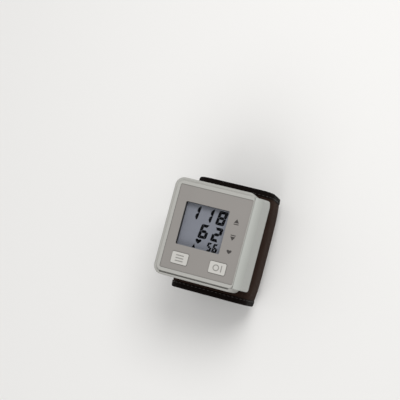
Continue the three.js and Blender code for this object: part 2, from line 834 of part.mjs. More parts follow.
function frontCase() {
  const base = level.parting + fit.seat / 2;
  const root = level.under + fit.over / 2;
  const screwTip = level.back + screw.sink + screw.headHeight + screw.length;
  const bosses = screwPlaces.map(([x, y]) => hole(x, y, boss.frontRadius, base, root));
  const pilots = screwPlaces.map(([x, y]) =>
    hole(x, y, screw.radius + fit.seat, base - fit.over, screwTip + fit.rest));
  const stakes = [-1, 1].flatMap((way) => [-side.rib, 0, side.rib].map((x) =>
    hole(x, way * (boardReach - stake.endRoom), stake.radius, level.boardTop + fit.seat, root)));
  const recess = slab(panelOutline, level.recess, level.tier + fit.over, { inset: -fit.seat });
  const lensPocket = windowSlab(lens.lap + fit.seat, level.lensFloor, level.tier);
  const opening = windowSlab(lens.opening, level.under - fit.over, level.tier);
  const keys = keyOpenings(level.under - fit.over, level.tier);
  return cut(join(frontShell(), ...bosses, ...stakes), recess, lensPocket, opening, ...keys, ...pilots);
}

// The cover's round front edge meets the tier; its ends are closed and it hooks under the shelf.
function batteryCover() {
  const middle = level.tier - door.width;
  const hull = (within) => {
    const radius = door.width - within;
    const shape = new THREE.Shape();
    shape.moveTo(side.doorLeft - within, level.doorBase - within);
    shape.lineTo(side.right - within, level.doorBase - within);
    shape.absarc(side.doorLeft, middle, radius, 0, Math.PI / 2, false);
    shape.lineTo(side.doorLeft - within, middle + radius);
    const plan = {
      x0: side.doorLeft - 2 * door.width,
      x1: side.right,
      y0: -reach.door,
      y1: reach.door,
      radii: Array(4).fill(door.cornerRadius),
    };
    const capped = slab(plan, level.doorBase - within, level.tier - within, {
      inset: within,
      highRound: door.endRound - within / 2,
    });
    return profileAlongY(shape, 2 * (reach.door + fit.over)).intersect(capped);
  };
  const tongueTop = level.under - fit.slide;
  const tongues = [-1, 1].map((way) => {
    const y = (way * door.tongueSpacing) / 2;
    return box(
      [side.right - door.wall - door.tongueReach, side.right - door.wall / 2],
      [y - door.tongueWidth / 2, y + door.tongueWidth / 2],
      [tongueTop - door.tongueThickness, tongueTop],
    );
  });
  return join(cut(hull(0), hull(door.wall)), ...tongues);
}

function frontPanel() {
  const through = [level.panelBase - fit.over, level.panelTop + fit.over];
  const plate = slab(panelOutline, level.panelBase, level.panelTop);
  return cut(plate, windowSlab(0, ...through), ...keyOpenings(...through));
}

function displayWindow() {
  return windowSlab(lens.lap, level.recess - lens.thickness, level.recess);
}

// The frame drops over the glass from the front; its collar fills the window's opening.
function lcdFrame() {
  const outer = crystal.lap + fit.seat + frame.wall;
  const body = join(
    windowSlab(outer, level.boardTop + fit.seat, level.frameTop, frame.radius),
    windowSlab(lens.opening - fit.seat, level.frameTop - fit.over / 2, level.lensFloor - fit.seat),
  );
  const pocketTop = level.crystalTop + fit.seat;
  const pocket = windowSlab(crystal.lap + fit.seat, level.boardTop - fit.over, pocketTop, crystal.radius);
  return cut(body, pocket, windowSlab(0, level.crystalTop, level.tier));
}

function lcdGlass() {
  return windowSlab(crystal.lap, level.crystalBase, level.crystalTop, crystal.radius);
}

function contactStrip(y) {
  const z0 = level.boardTop + fit.seat;
  return box(
    [windowBox.x0 - zebra.endInset, windowBox.x1 + zebra.endInset],
    [y - zebra.width / 2, y + zebra.width / 2],
    [z0, z0 + zebra.height],
  );
}

// The board clears the walls, the bay and the four screw bosses.
function circuitBoard() {
  const x = [side.left + shell.wall + board.sideGap, side.bayOuter - board.bayGap];
  const half = boardReach;
  const z = [level.boardBase, level.boardTop];
  const notches = screwPlaces.map(([placeX, placeY]) => {
    const within = boss.frontRadius + fit.rest;
    const acrossX = placeX < 0 ? [x[0] - fit.over, placeX + within] : [placeX - within, x[1] + fit.over];
    const acrossY = placeY < 0 ? [-half - fit.over, placeY + within] : [placeY - within, half + fit.over];
    return box(acrossX, acrossY, [z[0] - fit.over, z[1] + fit.over]);
  });
  return cut(box(x, [-half, half], z), ...notches);
}

function controllerChip() {
  const top = level.boardBase - fit.seat;
  const half = chip.size / 2;
  const x = [side.chip - half, side.chip + half];
  return box(x, [chip.y - half, chip.y + half], [top - chip.height, top]);
}

function pressureSensor() {
  const top = level.boardBase - fit.seat;
  const half = sensor.size / 2;
  const base = top - sensor.height;
  const body = box([side.sensor - half, side.sensor + half], [sensorY - half, sensorY + half], [base, top]);
  const at = (z) => [side.sensor, sensorY, z];
  const upright = (from, to, radius) => rod(at(from), at(to), radius, facets.smallSides);
  const tip = base - sensor.nippleLength;
  const middle = (base + top) / 2;
  return cut(join(body, upright(tip, middle, hose.nipple)), upright(tip - fit.over, middle, hose.passage));
}

function buzzerDisc() {
  const top = level.boardBase - fit.seat;
  const profile = [
    [0, top],
    [buzzer.radius, top],
    [buzzer.radius, top - buzzer.height],
    [buzzer.holeRadius, top - buzzer.height],
    [buzzer.holeRadius, top - buzzer.height / 2],
    [0, top - buzzer.height / 2],
  ];
  return turned(profile, facets.largeSides).translate(side.buzzer, buzzerY, 0);
}

// A key: a rounded cap, ears that stop it under the case, and a stem down to its switch.
function keyCap() {
  const top = level.panelTop + key.proud;
  const cap = slab(keyOutline(0, 0), level.frameTop - key.ear / 2, top, { highRound: key.round });
  const block = (halfWidth, halfHeight, z0) =>
    box([-halfWidth, halfWidth], [keyY - halfHeight, keyY + halfHeight], [z0, level.frameTop]);
  const ears = block(key.width / 2 + key.ear, key.height / 2 - key.ear, level.frameTop - key.ear);
  const stem = block(key.stemWidth / 2, key.stemWidth / 2, level.plungerTop + fit.seat);
  return join(cap, ears, stem);
}

function tactSwitch() {
  const half = tact.size / 2;
  const body = box([-half, half], [keyY - half, keyY + half], [level.boardTop + fit.seat, level.tactTop]);
  const floor = level.tactTop - tact.plungerDepth - key.travel - fit.slide;
  return cut(body, hole(0, keyY, tact.plungerRadius + fit.slide, floor, level.tactTop + fit.over));
}

function tactPlunger() {
  return hole(0, keyY, tact.plungerRadius, level.tactTop - tact.plungerDepth, level.plungerTop);
}

// A round-edged motor can with a bearing boss behind and an open bore for the crank's shaft.
function pumpMotor() {
  const bore = crank.shaftRadius + fit.seat;
  const profile = [
    [0, -pump.bossLength],
    [pump.bossRadius, -pump.bossLength],
    [pump.bossRadius, 0],
    [pump.radius - pump.bossLength, 0],
    [pump.radius, pump.bossLength],
    [pump.radius, pump.motorLength],
    [bore, pump.motorLength],
    [bore, pump.motorLength - crank.shaftDepth - fit.rest],
    [0, pump.motorLength - crank.shaftDepth - fit.rest],
  ];
  return turned(profile, facets.largeSides);
}

function pumpHousing() {
  const inner = pump.radius - pump.housingWall;
  const bore = crank.shaftRadius + fit.rest;
  const profile = [
    [bore, 0],
    [pump.radius, 0],
    [pump.radius, pump.housingLength],
    [inner, pump.housingLength],
    [inner, pump.housingFloor],
    [bore, pump.housingFloor],
    [bore, 0],
  ];
  const across = pump.radius + fit.over;
  const heights = [pump.housingFloor + fit.rest, pump.housingLength - fit.over];
  return cut(turned(profile, facets.largeSides), box([-across, across], [-inner / 2, inner / 2], heights));
}

// The crank that the motor turns: its pin drives the diaphragms.
function pumpCrank() {
  const discStart = pump.housingFloor + fit.rest + fit.slide;
  const face = discStart + crank.discThickness;
  const at = (x, height) => [x, 0, height];
  const shaftEnds = [at(0, -fit.seat - crank.shaftDepth), at(0, discStart + fit.over)];
  const shaft = rod(...shaftEnds, crank.shaftRadius, facets.roundSides);
  const disc = rod(at(0, discStart), at(0, face), crank.discRadius, facets.largeSides);
  const pinEnds = [at(crank.throwOut, face - fit.over), at(crank.throwOut, face + crank.pinLength)];
  return join(shaft, disc, rod(...pinEnds, crank.pinRadius, facets.smallSides));
}

function pumpHead() {
  const profile = [
    [0, 0],
    [pump.radius, 0],
    [pump.radius, pump.headStep],
    [pump.headRadius, pump.headStep],
    [pump.headRadius, pump.headLength],
    [hose.nipple, pump.headLength],
    [hose.nipple, pump.headLength + hose.nippleLength],
    [hose.passage, pump.headLength + hose.nippleLength],
    [hose.passage, pump.headLength],
    [0, pump.headLength],
  ];
  return turned(profile, facets.largeSides);
}

// The valve's body, with the plunger's bore at one end and its nipple at the other.
function exhaustValve() {
  const x = [valve.x - valve.width / 2, valve.x + valve.width / 2];
  const end = valveStart + valve.length;
  const z = level.floor + valve.nozzleHeight;
  const body = box(x, [valveStart, end], [level.floor + fit.seat, valveTop]);
  const along = (from, to, radius) => rod([valve.x, from, z], [valve.x, to, z], radius, facets.smallSides);
  const bore = along(valveStart - fit.over, valveStart + stopper.boreDepth, stopper.radius + fit.seat);
  const nipple = along(end - fit.over, end + hose.nippleLength, hose.nipple);
  const passage = along(end - fit.over, end + hose.nippleLength + fit.over, hose.passage);
  return cut(join(body, nipple), bore, passage);
}

function valvePlunger() {
  const face = valveStart - stopper.travel - fit.slide;
  const z = level.floor + valve.nozzleHeight;
  const tip = valveStart + stopper.boreDepth - stopper.travel - fit.slide;
  const along = (from, to, radius, sides) => rod([valve.x, from, z], [valve.x, to, z], radius, sides);
  const stem = along(face - stopper.headThickness / 2, tip, stopper.radius, facets.smallSides);
  const head = along(face - stopper.headThickness, face, stopper.headRadius, facets.roundSides);
  return join(stem, head);
}

// A barrel with a nipple at each end, one towards the valve and one down to the cuff.
function airManifold() {
  const ends = manifoldEnds;
  const at = (x, dy = 0, dz = 0) => [x, manifoldY + dy, level.manifold + dz];
  const far = manifold.radius + hose.nippleLength;
  const barrel = rod(at(ends[0]), at(ends[1]), manifold.radius, facets.roundSides);
  const lines = [
    [at(ends[0] - hose.nippleLength), at(ends[1] + hose.nippleLength)],
    [at(manifold.valveX), at(manifold.valveX, -far)],
    [at(manifold.cuffX), at(manifold.cuffX, 0, -far)],
  ];
  const nipples = lines.map(([from, to]) => rod(from, to, hose.nipple, facets.smallSides));
  const longer = [
    [at(ends[0] - hose.nippleLength - fit.over), at(ends[1] + hose.nippleLength + fit.over)],
    [at(manifold.valveX), at(manifold.valveX, -far - fit.over)],
    [at(manifold.cuffX), at(manifold.cuffX, 0, -far - fit.over)],
  ];
  const passages = longer.map(([from, to]) => rod(from, to, hose.passage, facets.smallSides));
  return cut(join(barrel, ...nipples), ...passages);
}

// A hose between two nipples: straight over each, with one smooth bend between.
function airHose(from, fromWay, to, toWay, slack) {
  const along = (point, way, distance) =>
    new THREE.Vector3(...point).addScaledVector(new THREE.Vector3(...way), distance);
  const marks = [
    along(from, fromWay, fit.rest),
    along(from, fromWay, hose.straight),
    along(from, fromWay, hose.straight + slack),
    along(to, toWay, hose.straight + slack),
    along(to, toWay, hose.straight),
    along(to, toWay, fit.rest),
  ];
  const path = new THREE.CurvePath();
  path.add(new THREE.LineCurve3(marks[0], marks[1]));
  path.add(new THREE.CubicBezierCurve3(...marks.slice(1, 5)));
  path.add(new THREE.LineCurve3(marks[4], marks[5]));
  const shape = new THREE.Shape().absarc(0, 0, hose.radius, 0, 2 * Math.PI);
  shape.holes.push(new THREE.Path().absarc(0, 0, hose.bore, 0, 2 * Math.PI, true));
  const curveSegments = facets.coilSteps / 2;
  const settings = { steps: facets.hoseSteps, extrudePath: path, bevelEnabled: false, curveSegments };
  return solidOf(new THREE.ExtrudeGeometry(shape, settings));
}

function cuffHose() {
  const low = level.floor + nozzle.neckRise + fit.rest;
  const high = level.manifold - manifold.radius - fit.rest;
  const profile = [
    [hose.bore, low],
    [hose.radius, low],
    [hose.radius, high],
    [hose.bore, high],
    [hose.bore, low],
  ];
  return turned(profile, facets.roundSides).translate(manifold.cuffX, manifoldY, 0);
}

function batteryCell() {
  const body = cell.length - cell.nubLength;
  const profile = [
    [0, 0],
    [cell.radius - cell.edge, 0],
    [cell.radius, cell.edge],
    [cell.radius, body - cell.edge],
    [cell.radius - cell.edge, body],
    [cell.nubRadius, body],
    [cell.nubRadius, cell.length],
    [0, cell.length],
  ];
  return turned(profile, facets.largeSides);
}

// Middle points of one coil spring, with a straight stub of one wire at each end.
function coilPoints() {
  const count = spring.turns * facets.coilSteps;
  const points = Array.from({ length: count + 1 }, (_, step) => {
    const angle = (2 * Math.PI * step) / facets.coilSteps;
    const height = spring.wire + (spring.pitch * step) / facets.coilSteps;
    return new THREE.Vector3(spring.radius * Math.cos(angle), spring.radius * Math.sin(angle), height);
  });
  const stub = (point, rise) => new THREE.Vector3(point.x, point.y, point.z + rise);
  return [stub(points[0], -spring.wire), ...points, stub(points[count], spring.wire)];
}

function coilSpring() {
  const points = coilPoints();
  const sides = facets.wireSides;
  const rings = points.map((point, index) => {
    const before = points[Math.max(index - 1, 0)];
    const after = points[Math.min(index + 1, points.length - 1)];
    const way = new THREE.Vector3().subVectors(after, before).normalize();
    const outward = new THREE.Vector3(point.x, point.y, 0).normalize();
    const across = new THREE.Vector3().crossVectors(way, outward).normalize();
    return Array.from({ length: sides }, (_, corner) => {
      const angle = (2 * Math.PI * corner) / sides;
      return point.clone()
        .addScaledVector(outward, (spring.wire / 2) * Math.cos(angle))
        .addScaledVector(across, (spring.wire / 2) * Math.sin(angle));
    });
  });
  const outline = rings[0].map((_, corner) => {
    const angle = (2 * Math.PI * corner) / sides;
    return new THREE.Vector2(Math.cos(angle), Math.sin(angle));
  });
  return loft(rings, outline);
}

function springSelfGap() {
  const points = coilPoints();
  let least = Infinity;
  for (let from = 0; from < points.length; from += 1) {
    for (let to = from + facets.coilSteps / 2; to < points.length; to += 1) {
      least = Math.min(least, points[from].distanceTo(points[to]));
    }
  }
  return least - spring.wire;
}

function contactPlate(heights) {
  const z = [Math.min(...heights) - contact.height / 2, Math.max(...heights) + contact.height / 2];
  return box([-contact.width / 2, contact.width / 2], [0, contact.thickness], z);
}

function caseScrew() {
  const profile = [
    [0, screw.recess],
    [screw.recessRadius, screw.recess],
    [screw.recessRadius, 0],
    [screw.headRadius, 0],
    [screw.headRadius, screw.headHeight],
    [screw.radius, screw.headHeight],
    [screw.radius, screw.headHeight + screw.length - screw.radius],
    [0, screw.headHeight + screw.length],
  ];
  return turned(profile, facets.roundSides);
}

// Finishes: colour, roughness and metalness.
function finish(color, roughness, metalness = 0) {
  return () => new THREE.MeshStandardMaterial({ color, roughness, metalness });
}

const finishes = {
  casing: finish(0xa8a7a2, 0.5),
  panel: finish(0x8c8783, 0.45),
  key: finish(0xbebcb7, 0.45),
  clear: finish(0xc8ccd2, 0.05),
  display: finish(0x80828d, 0.3),
  blackPlastic: finish(0x141414, 0.5),
  board: finish(0x1f5a3a, 0.5),
  steel: finish(0xb4b6b8, 0.3, 1),
  tin: finish(0xc9c4b4, 0.35, 1),
  whitePlastic: finish(0xd8d6cf, 0.5),
  silicone: finish(0xe2e0da, 0.6),
  rubber: finish(0x24211f, 0.8),
  fabric: finish(0x2d221c, 0.95),
  lining: finish(0x1c1715, 0.95),
  tape: finish(0x16110e, 0.9),
  curler: finish(0x8f8f8a, 0.6),
  bladder: finish(0x3a3634, 0.7),
  cell: finish(0x3a3f46, 0.35, 0.4),
};

function piece(name, material, solid, position = [0, 0, 0], rotation = [0, 0, 0]) {
  const mesh = new THREE.Mesh(geometryOf(solid), finishes[material]());
  mesh.name = name;
  mesh.position.set(...position);
  mesh.rotation.set(...rotation);
  return mesh;
}

function group(...children) {
  const set = new THREE.Group();
  set.add(...children);
  return set;
}

const alongY = [-Math.PI / 2, 0, 0];
const againstY = [Math.PI / 2, 0, 0];

function cuffGroup() {
  const retainers = [side.leftPost, side.rightPost].map((x, index) =>
    piece(`cuff_retainer_${index + 1}`, 'steel', postRetainer(), [x, 0, level.floor + fit.seat]));
  return group(
    piece('cuff_outer_cover', 'fabric', cuffOuterCover()),
    piece('cuff_curler', 'curler', cuffCurler()),
    piece('air_bladder', 'bladder', airBladder()),
    piece('cuff_lining', 'lining', cuffLining()),
    piece('cuff_binding_top', 'tape', rimTape(1)),
    piece('cuff_binding_bottom', 'tape', rimTape(-1)),
    piece('cuff_strap', 'fabric', cuffStrap()),
    piece('hook_patch', 'rubber', hookPatch()),
    piece('cuff_nozzle', 'whitePlastic', cuffNozzle(), [manifold.cuffX, manifoldY, 0]),
    ...retainers,
  );
}

function caseGroup() {
  const screws = screwPlaces.map(([x, y], index) =>
    piece(`case_screw_${index + 1}`, 'steel', caseScrew(), [x, y, level.back + screw.sink]));
  return group(
    piece('front_case', 'casing', frontCase()),
    piece('rear_case', 'casing', rearCase()),
    piece('battery_cover', 'casing', batteryCover()),
    piece('front_panel', 'panel', frontPanel()),
    piece('display_window', 'clear', displayWindow()),
    ...screws,
  );
}

function electronicsGroup() {
  const stripReach = crystal.lap / 2;
  const keys = [['memory', side.leftKey], ['power', side.rightKey]].flatMap(([name, x]) => [
    piece(`${name}_button`, 'key', keyCap(), [x, 0, 0]),
    piece(`${name}_switch`, 'blackPlastic', tactSwitch(), [x, 0, 0]),
    piece(`${name}_plunger`, 'whitePlastic', tactPlunger(), [x, 0, 0]),
  ]);
  return group(
    piece('lcd_frame', 'blackPlastic', lcdFrame()),
    piece('lcd_glass', 'display', lcdGlass()),
    piece('contact_strip_upper', 'rubber', contactStrip(windowBox.y1 + stripReach)),
    piece('contact_strip_lower', 'rubber', contactStrip(windowBox.y0 - stripReach)),
    piece('circuit_board', 'board', circuitBoard()),
    piece('controller_chip', 'blackPlastic', controllerChip()),
    piece('pressure_sensor', 'whitePlastic', pressureSensor()),
    piece('buzzer', 'blackPlastic', buzzerDisc()),
    ...keys,
  );
}

function airGroup() {
  const headEnd = headStart + pump.headLength;
  const valveEnd = valveStart + valve.length;
  const valveHeight = level.floor + valve.nozzleHeight;
  const sensorBase = level.boardBase - fit.seat - sensor.height;
  const pumpLine = airHose(
    [side.pump, headEnd, level.pump], [0, 1, 0],
    [manifoldEnds[0], manifoldY, level.manifold], [-1, 0, 0], hose.nippleLength);
  const valveLine = airHose(
    [valve.x, valveEnd, valveHeight], [0, 1, 0],
    [manifold.valveX, manifoldY - manifold.radius, level.manifold], [0, -1, 0], hose.straight);
  const sensorLine = airHose(
    [side.sensor, sensorY, sensorBase], [0, 0, -1],
    [manifoldEnds[1], manifoldY, level.manifold], [1, 0, 0], hose.straight + fit.over);
  return group(
    piece('pump_motor', 'steel', pumpMotor(), [side.pump, pumpStart, level.pump], alongY),
    piece('pump_housing', 'whitePlastic', pumpHousing(), [side.pump, housingStart, level.pump], alongY),
    piece('pump_crank', 'steel', pumpCrank(), [side.pump, housingStart, level.pump], alongY),
    piece('pump_head', 'whitePlastic', pumpHead(), [side.pump, headStart, level.pump], alongY),
    piece('exhaust_valve', 'blackPlastic', exhaustValve()),
    piece('valve_plunger', 'steel', valvePlunger()),
    piece('air_manifold', 'whitePlastic', airManifold()),
    piece('pump_tube', 'silicone', pumpLine),
    piece('valve_tube', 'silicone', valveLine),
    piece('sensor_tube', 'silicone', sensorLine),
    piece('cuff_tube', 'silicone', cuffHose()),
  );
}

// The low cell's nub points to +Y and the high one's to -Y; a spring stands at each flat end.
function batteryGroup() {
  const flatEnd = reach.bay - springRoom;
  const plateFace = reach.bay - fit.seat - contact.thickness;
  const linkFace = -plateFace - contact.thickness;
  const springStart = plateFace - fit.seat;
  const x = side.cell;
  return group(
    piece('battery_lower', 'cell', batteryCell(), [x, -flatEnd, level.lowCell], alongY),
    piece('battery_upper', 'cell', batteryCell(), [x, flatEnd, level.highCell], againstY),
    piece('battery_spring_lower', 'steel', coilSpring(), [x, -springStart, level.lowCell], alongY),
    piece('battery_spring_upper', 'steel', coilSpring(), [x, springStart, level.highCell], againstY),
    piece('battery_contact_positive', 'tin', contactPlate([level.lowCell]), [x, plateFace, 0]),
    piece('battery_contact_negative', 'tin', contactPlate([level.highCell]), [x, plateFace, 0]),
    piece('battery_contact_link', 'tin', contactPlate([level.lowCell, level.highCell]), [x, linkFace, 0]),
  );
}

console.log(`least gap of a battery spring to itself: ${springSelfGap().toFixed(2)} mm`);

const monitor = group(cuffGroup(), caseGroup(), electronicsGroup(), airGroup(), batteryGroup());

export default monitor;
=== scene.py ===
# %% [markdown]
# A wrist blood pressure monitor, lying on the back of its closed cuff with its display up.
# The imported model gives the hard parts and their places. This file gives them their finish and
# makes the soft cuff, the stitches, the display's digits and the small marks.

# %% Load the frame
import json
import math

import bmesh
import bpy
import numpy as np
from mathutils import Matrix, Vector

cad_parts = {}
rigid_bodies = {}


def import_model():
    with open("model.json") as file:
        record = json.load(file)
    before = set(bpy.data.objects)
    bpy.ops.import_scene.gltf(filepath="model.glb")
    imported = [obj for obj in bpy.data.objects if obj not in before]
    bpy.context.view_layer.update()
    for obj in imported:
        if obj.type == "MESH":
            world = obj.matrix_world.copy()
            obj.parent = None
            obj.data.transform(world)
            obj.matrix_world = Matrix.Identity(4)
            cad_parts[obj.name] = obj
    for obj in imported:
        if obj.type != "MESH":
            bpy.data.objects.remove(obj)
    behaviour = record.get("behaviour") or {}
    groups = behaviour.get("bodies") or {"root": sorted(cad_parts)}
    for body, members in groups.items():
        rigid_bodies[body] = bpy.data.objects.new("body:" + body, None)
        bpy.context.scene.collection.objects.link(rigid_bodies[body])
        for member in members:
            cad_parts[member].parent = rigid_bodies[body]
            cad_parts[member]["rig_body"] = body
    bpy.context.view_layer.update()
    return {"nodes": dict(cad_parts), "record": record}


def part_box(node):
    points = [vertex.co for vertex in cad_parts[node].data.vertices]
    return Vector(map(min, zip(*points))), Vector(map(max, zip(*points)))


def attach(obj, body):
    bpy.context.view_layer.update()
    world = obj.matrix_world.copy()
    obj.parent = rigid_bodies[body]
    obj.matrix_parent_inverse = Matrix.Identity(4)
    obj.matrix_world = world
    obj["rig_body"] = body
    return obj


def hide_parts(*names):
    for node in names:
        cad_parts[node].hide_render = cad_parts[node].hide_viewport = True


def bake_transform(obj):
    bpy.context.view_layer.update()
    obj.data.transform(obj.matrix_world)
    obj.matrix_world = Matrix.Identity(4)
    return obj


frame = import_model()

# %% [markdown]
# Lengths are written here in millimetres and Blender works in metres, so one factor stands between
# them. Every piece needs the same few steps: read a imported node's box, make a mesh from points,
# link a new object, and open a mesh for editing and write it back.

# %% Units and first helpers
MM = 0.001


def place(x, y, z):
    return Vector((x, y, z)) * MM


def node_box(node):
    low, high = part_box(node)
    return np.array(low) / MM, np.array(high) / MM


def mesh_of(name, points, edges=(), faces=()):
    mesh = bpy.data.meshes.new(name)
    mesh.from_pydata((np.asarray(points).reshape(-1, 3) * MM).tolist(), edges, faces)
    return mesh


def link_object(name, data):
    made = bpy.data.objects.new(name, data)
    bpy.context.scene.collection.objects.link(made)
    return made


def open_mesh(mesh):
    shape = bmesh.new()
    shape.from_mesh(mesh)
    return shape


def write_mesh(shape, mesh):
    shape.to_mesh(mesh)
    shape.free()
    return mesh


print("corners of the case's front in mm:", *(corner.round(1).tolist() for corner in node_box("front_case")))


# %% [markdown]
# The camera looks down on the display, from a little to its right and from just below, and the
# picture is rolled clockwise. It stands a long way off, as for a small product on a table. The
# object sits low and right of the picture's middle, so the camera aims past it.

# %% Camera
PICTURE = 400
VIEW = {"yaw": 13.87, "pitch": 2.53, "roll": 14.79, "distance": 646, "focal": 970.1}
CENTRE = (0, 0, 60)
CENTRE_IN_PICTURE = (212.0, 236.0)


def make_camera():
    yaw, pitch, roll = (math.radians(VIEW[name]) for name in ("yaw", "pitch", "roll"))
    back = Vector((math.sin(yaw) * math.cos(pitch), -math.sin(pitch), math.cos(yaw) * math.cos(pitch)))
    level_right = Vector((0, 1, 0)).cross(back).normalized()
    level_up = back.cross(level_right)
    right = level_right * math.cos(roll) + level_up * math.sin(roll)
    up = level_up * math.cos(roll) - level_right * math.sin(roll)
    aside = (CENTRE_IN_PICTURE[0] - PICTURE / 2) / VIEW["focal"]
    below = (CENTRE_IN_PICTURE[1] - PICTURE / 2) / VIEW["focal"]
    aim_back = (back + right * aside - up * below).normalized()
    aim_right = (right - aim_back * right.dot(aim_back)).normalized()
    aim_up = aim_back.cross(aim_right)
    data = bpy.data.cameras.new("camera")
    data.sensor_width = 36
    data.lens = VIEW["focal"] * data.sensor_width / PICTURE
    data.clip_start = 0.01
    camera = link_object("camera", data)
    turn = Matrix((aim_right, aim_up, aim_back)).transposed()
    camera.matrix_world = Matrix.Translation(place(*CENTRE) + back * VIEW["distance"] * MM) @ turn.to_4x4()
    bpy.context.scene.camera = camera
    return right, up, back


picture_right, picture_up, towards_camera = make_camera()
bpy.context.scene.view_settings.view_transform = "Standard"
print("camera stands at", [round(1000 * x) for x in bpy.context.scene.camera.matrix_world.translation])


# %% [markdown]
# A pale table and plain studio light show the object as it is. A wide soft lamp stands above the
# picture's upper edge, so the shadow falls downwards, and a wider, weaker one at the lower left
# fills the walls that face away from it. An even pale world lights the rest.

# %% Floor, lamps and world
TABLE = {"color": (232, 231, 229), "size": 2.5, "roughness": 0.75}
LAMPS = {
    "key_lamp": {"aim": (0.25, 0.95, 1.5), "distance": 0.9, "size": 0.5, "level": 0.56},
    "fill_lamp": {"aim": (-0.6, -1.0, 1.3), "distance": 1.2, "size": 0.9, "level": 0.3},
}
WORLD_LEVEL = 0.5


def linear(color):
    shares = [value / 255 for value in color]
    return tuple(s / 12.92 if s <= 0.04045 else ((s + 0.055) / 1.055) ** 2.4 for s in shares) + (1.0,)


def make_floor():
    shape = bmesh.new()
    bmesh.ops.create_grid(shape, x_segments=1, y_segments=1, size=TABLE["size"])
    mesh = write_mesh(shape, bpy.data.meshes.new("table_top"))
    material = bpy.data.materials.new("table_top")
    material.use_nodes = True
    shader = material.node_tree.nodes["Principled BSDF"]
    shader.inputs["Base Color"].default_value = linear(TABLE["color"])
    shader.inputs["Roughness"].default_value = TABLE["roughness"]
    mesh.materials.append(material)
    link_object("table_top", mesh)


def make_lamp(name, aim, distance, size, level):
    data = bpy.data.lights.new(name, "AREA")
    data.shape = "DISK"
    data.size = size
    data.energy = level * math.pi ** 2 * distance ** 2
    lamp = link_object(name, data)
    way = (picture_right * aim[0] + picture_up * aim[1] + towards_camera * aim[2]).normalized()
    lamp.location = place(*CENTRE) + way * distance
    lamp.rotation_mode = "QUATERNION"
    lamp.rotation_quaternion = way.to_track_quat("Z", "Y")


def make_world():
    world = bpy.data.worlds.new("studio")
    world.use_nodes = True
    sky = world.node_tree.nodes["Background"]
    sky.inputs["Color"].default_value = (1, 1, 1, 1)
    sky.inputs["Strength"].default_value = WORLD_LEVEL
    bpy.context.scene.world = world


make_floor()
for lamp_name, lamp_values in LAMPS.items():
    make_lamp(lamp_name, **lamp_values)
make_world()
print("lamps:", ", ".join(LAMPS))

# %% [markdown]
# Every finish is a small node tree. The first helper adds a node and joins it to what feeds it.
# The others add what most finishes share: a noise, a change of range, a mix of two colours, a
# bump, and a colour or a roughness that follows a pattern between two limits.

# %% Helpers for finishes
finishes = {}


def add(tree, kind, settings=None, inputs=None):
    """A new node; an input has a name or a number, and takes a value or another node's socket."""
    made = tree.nodes.new(kind)
    for name, value in (settings or {}).items():
        setattr(made, name, value)
    for name, value in (inputs or {}).items():
        if isinstance(value, bpy.types.NodeSocket):
            tree.links.new(value, made.inputs[name])
        else:
            made.inputs[name].default_value = value
    return made


def new_finish(name, values):
    material = bpy.data.materials.new(name)
    material.use_nodes = True
    tree = material.node_tree
    shader = tree.nodes["Principled BSDF"]
    for socket, value in values.items():
        shader.inputs[socket].default_value = value
    finishes[name] = material
    return tree, shader


def object_place(tree):
    return add(tree, "ShaderNodeTexCoord").outputs["Object"]


def noise(tree, coordinates, scale, detail=2.0):
    inputs = {"Vector": coordinates, "Scale": scale, "Detail": detail}
    return add(tree, "ShaderNodeTexNoise", {}, inputs).outputs["Fac"]


def between(tree, factor, low, high, from_low=0.0, from_high=1.0):
    inputs = {"Value": factor, "From Min": from_low, "From Max": from_high, "To Min": low, "To Max": high}
    return add(tree, "ShaderNodeMapRange", {}, inputs).outputs["Result"]


def tint(tree, factor, first, second):
    inputs = {"Factor": factor, 6: first, 7: second}
    return add(tree, "ShaderNodeMix", {"data_type": "RGBA"}, inputs).outputs[2]


def shade(color, factor):
    return tuple(min(1.0, channel * factor) for channel in color[:3]) + (1.0,)


def color_by(tree, shader, factor, color, darker, lighter):
    base = linear(color)
    mixed = tint(tree, factor, shade(base, darker), shade(base, lighter))
    tree.links.new(mixed, shader.inputs["Base Color"])


def roughness_by(tree, shader, factor, low, high, from_low=0.0, from_high=1.0):
    rough = between(tree, factor, low, high, from_low, from_high)
    tree.links.new(rough, shader.inputs["Roughness"])


def bump(tree, shader, height, strength, distance):
    inputs = {"Height": height, "Strength": strength, "Distance": distance * MM}
    made = add(tree, "ShaderNodeBump", {}, inputs)
    tree.links.new(made.outputs["Normal"], shader.inputs["Normal"])


# %% [markdown]
# Moulded plastic is never quite one colour: it has a fine spark-eroded grain, faint flow marks and
# a gloss that varies a little, so each plastic gets these three at its own strength.

# %% Plastics
PLASTIC = {"flow_scale": 45.0, "gloss_spread": 0.06, "grain_height": 0.03}


def moulded_plastic(name, color, gloss, grain=0.4, grain_size=0.35, flow=0.03):
    tree, shader = new_finish(name, {"Specular IOR Level": 0.45})
    where = object_place(tree)
    fine = noise(tree, where, 1 / (grain_size * MM), detail=1.0)
    color_by(tree, shader, noise(tree, where, PLASTIC["flow_scale"], detail=3.0), color, 1 - flow, 1 + flow)
    spread = PLASTIC["gloss_spread"]
    roughness_by(tree, shader, fine, gloss - spread, gloss + spread, from_low=0.3, from_high=0.7)
    bump(tree, shader, fine, grain, PLASTIC["grain_height"])


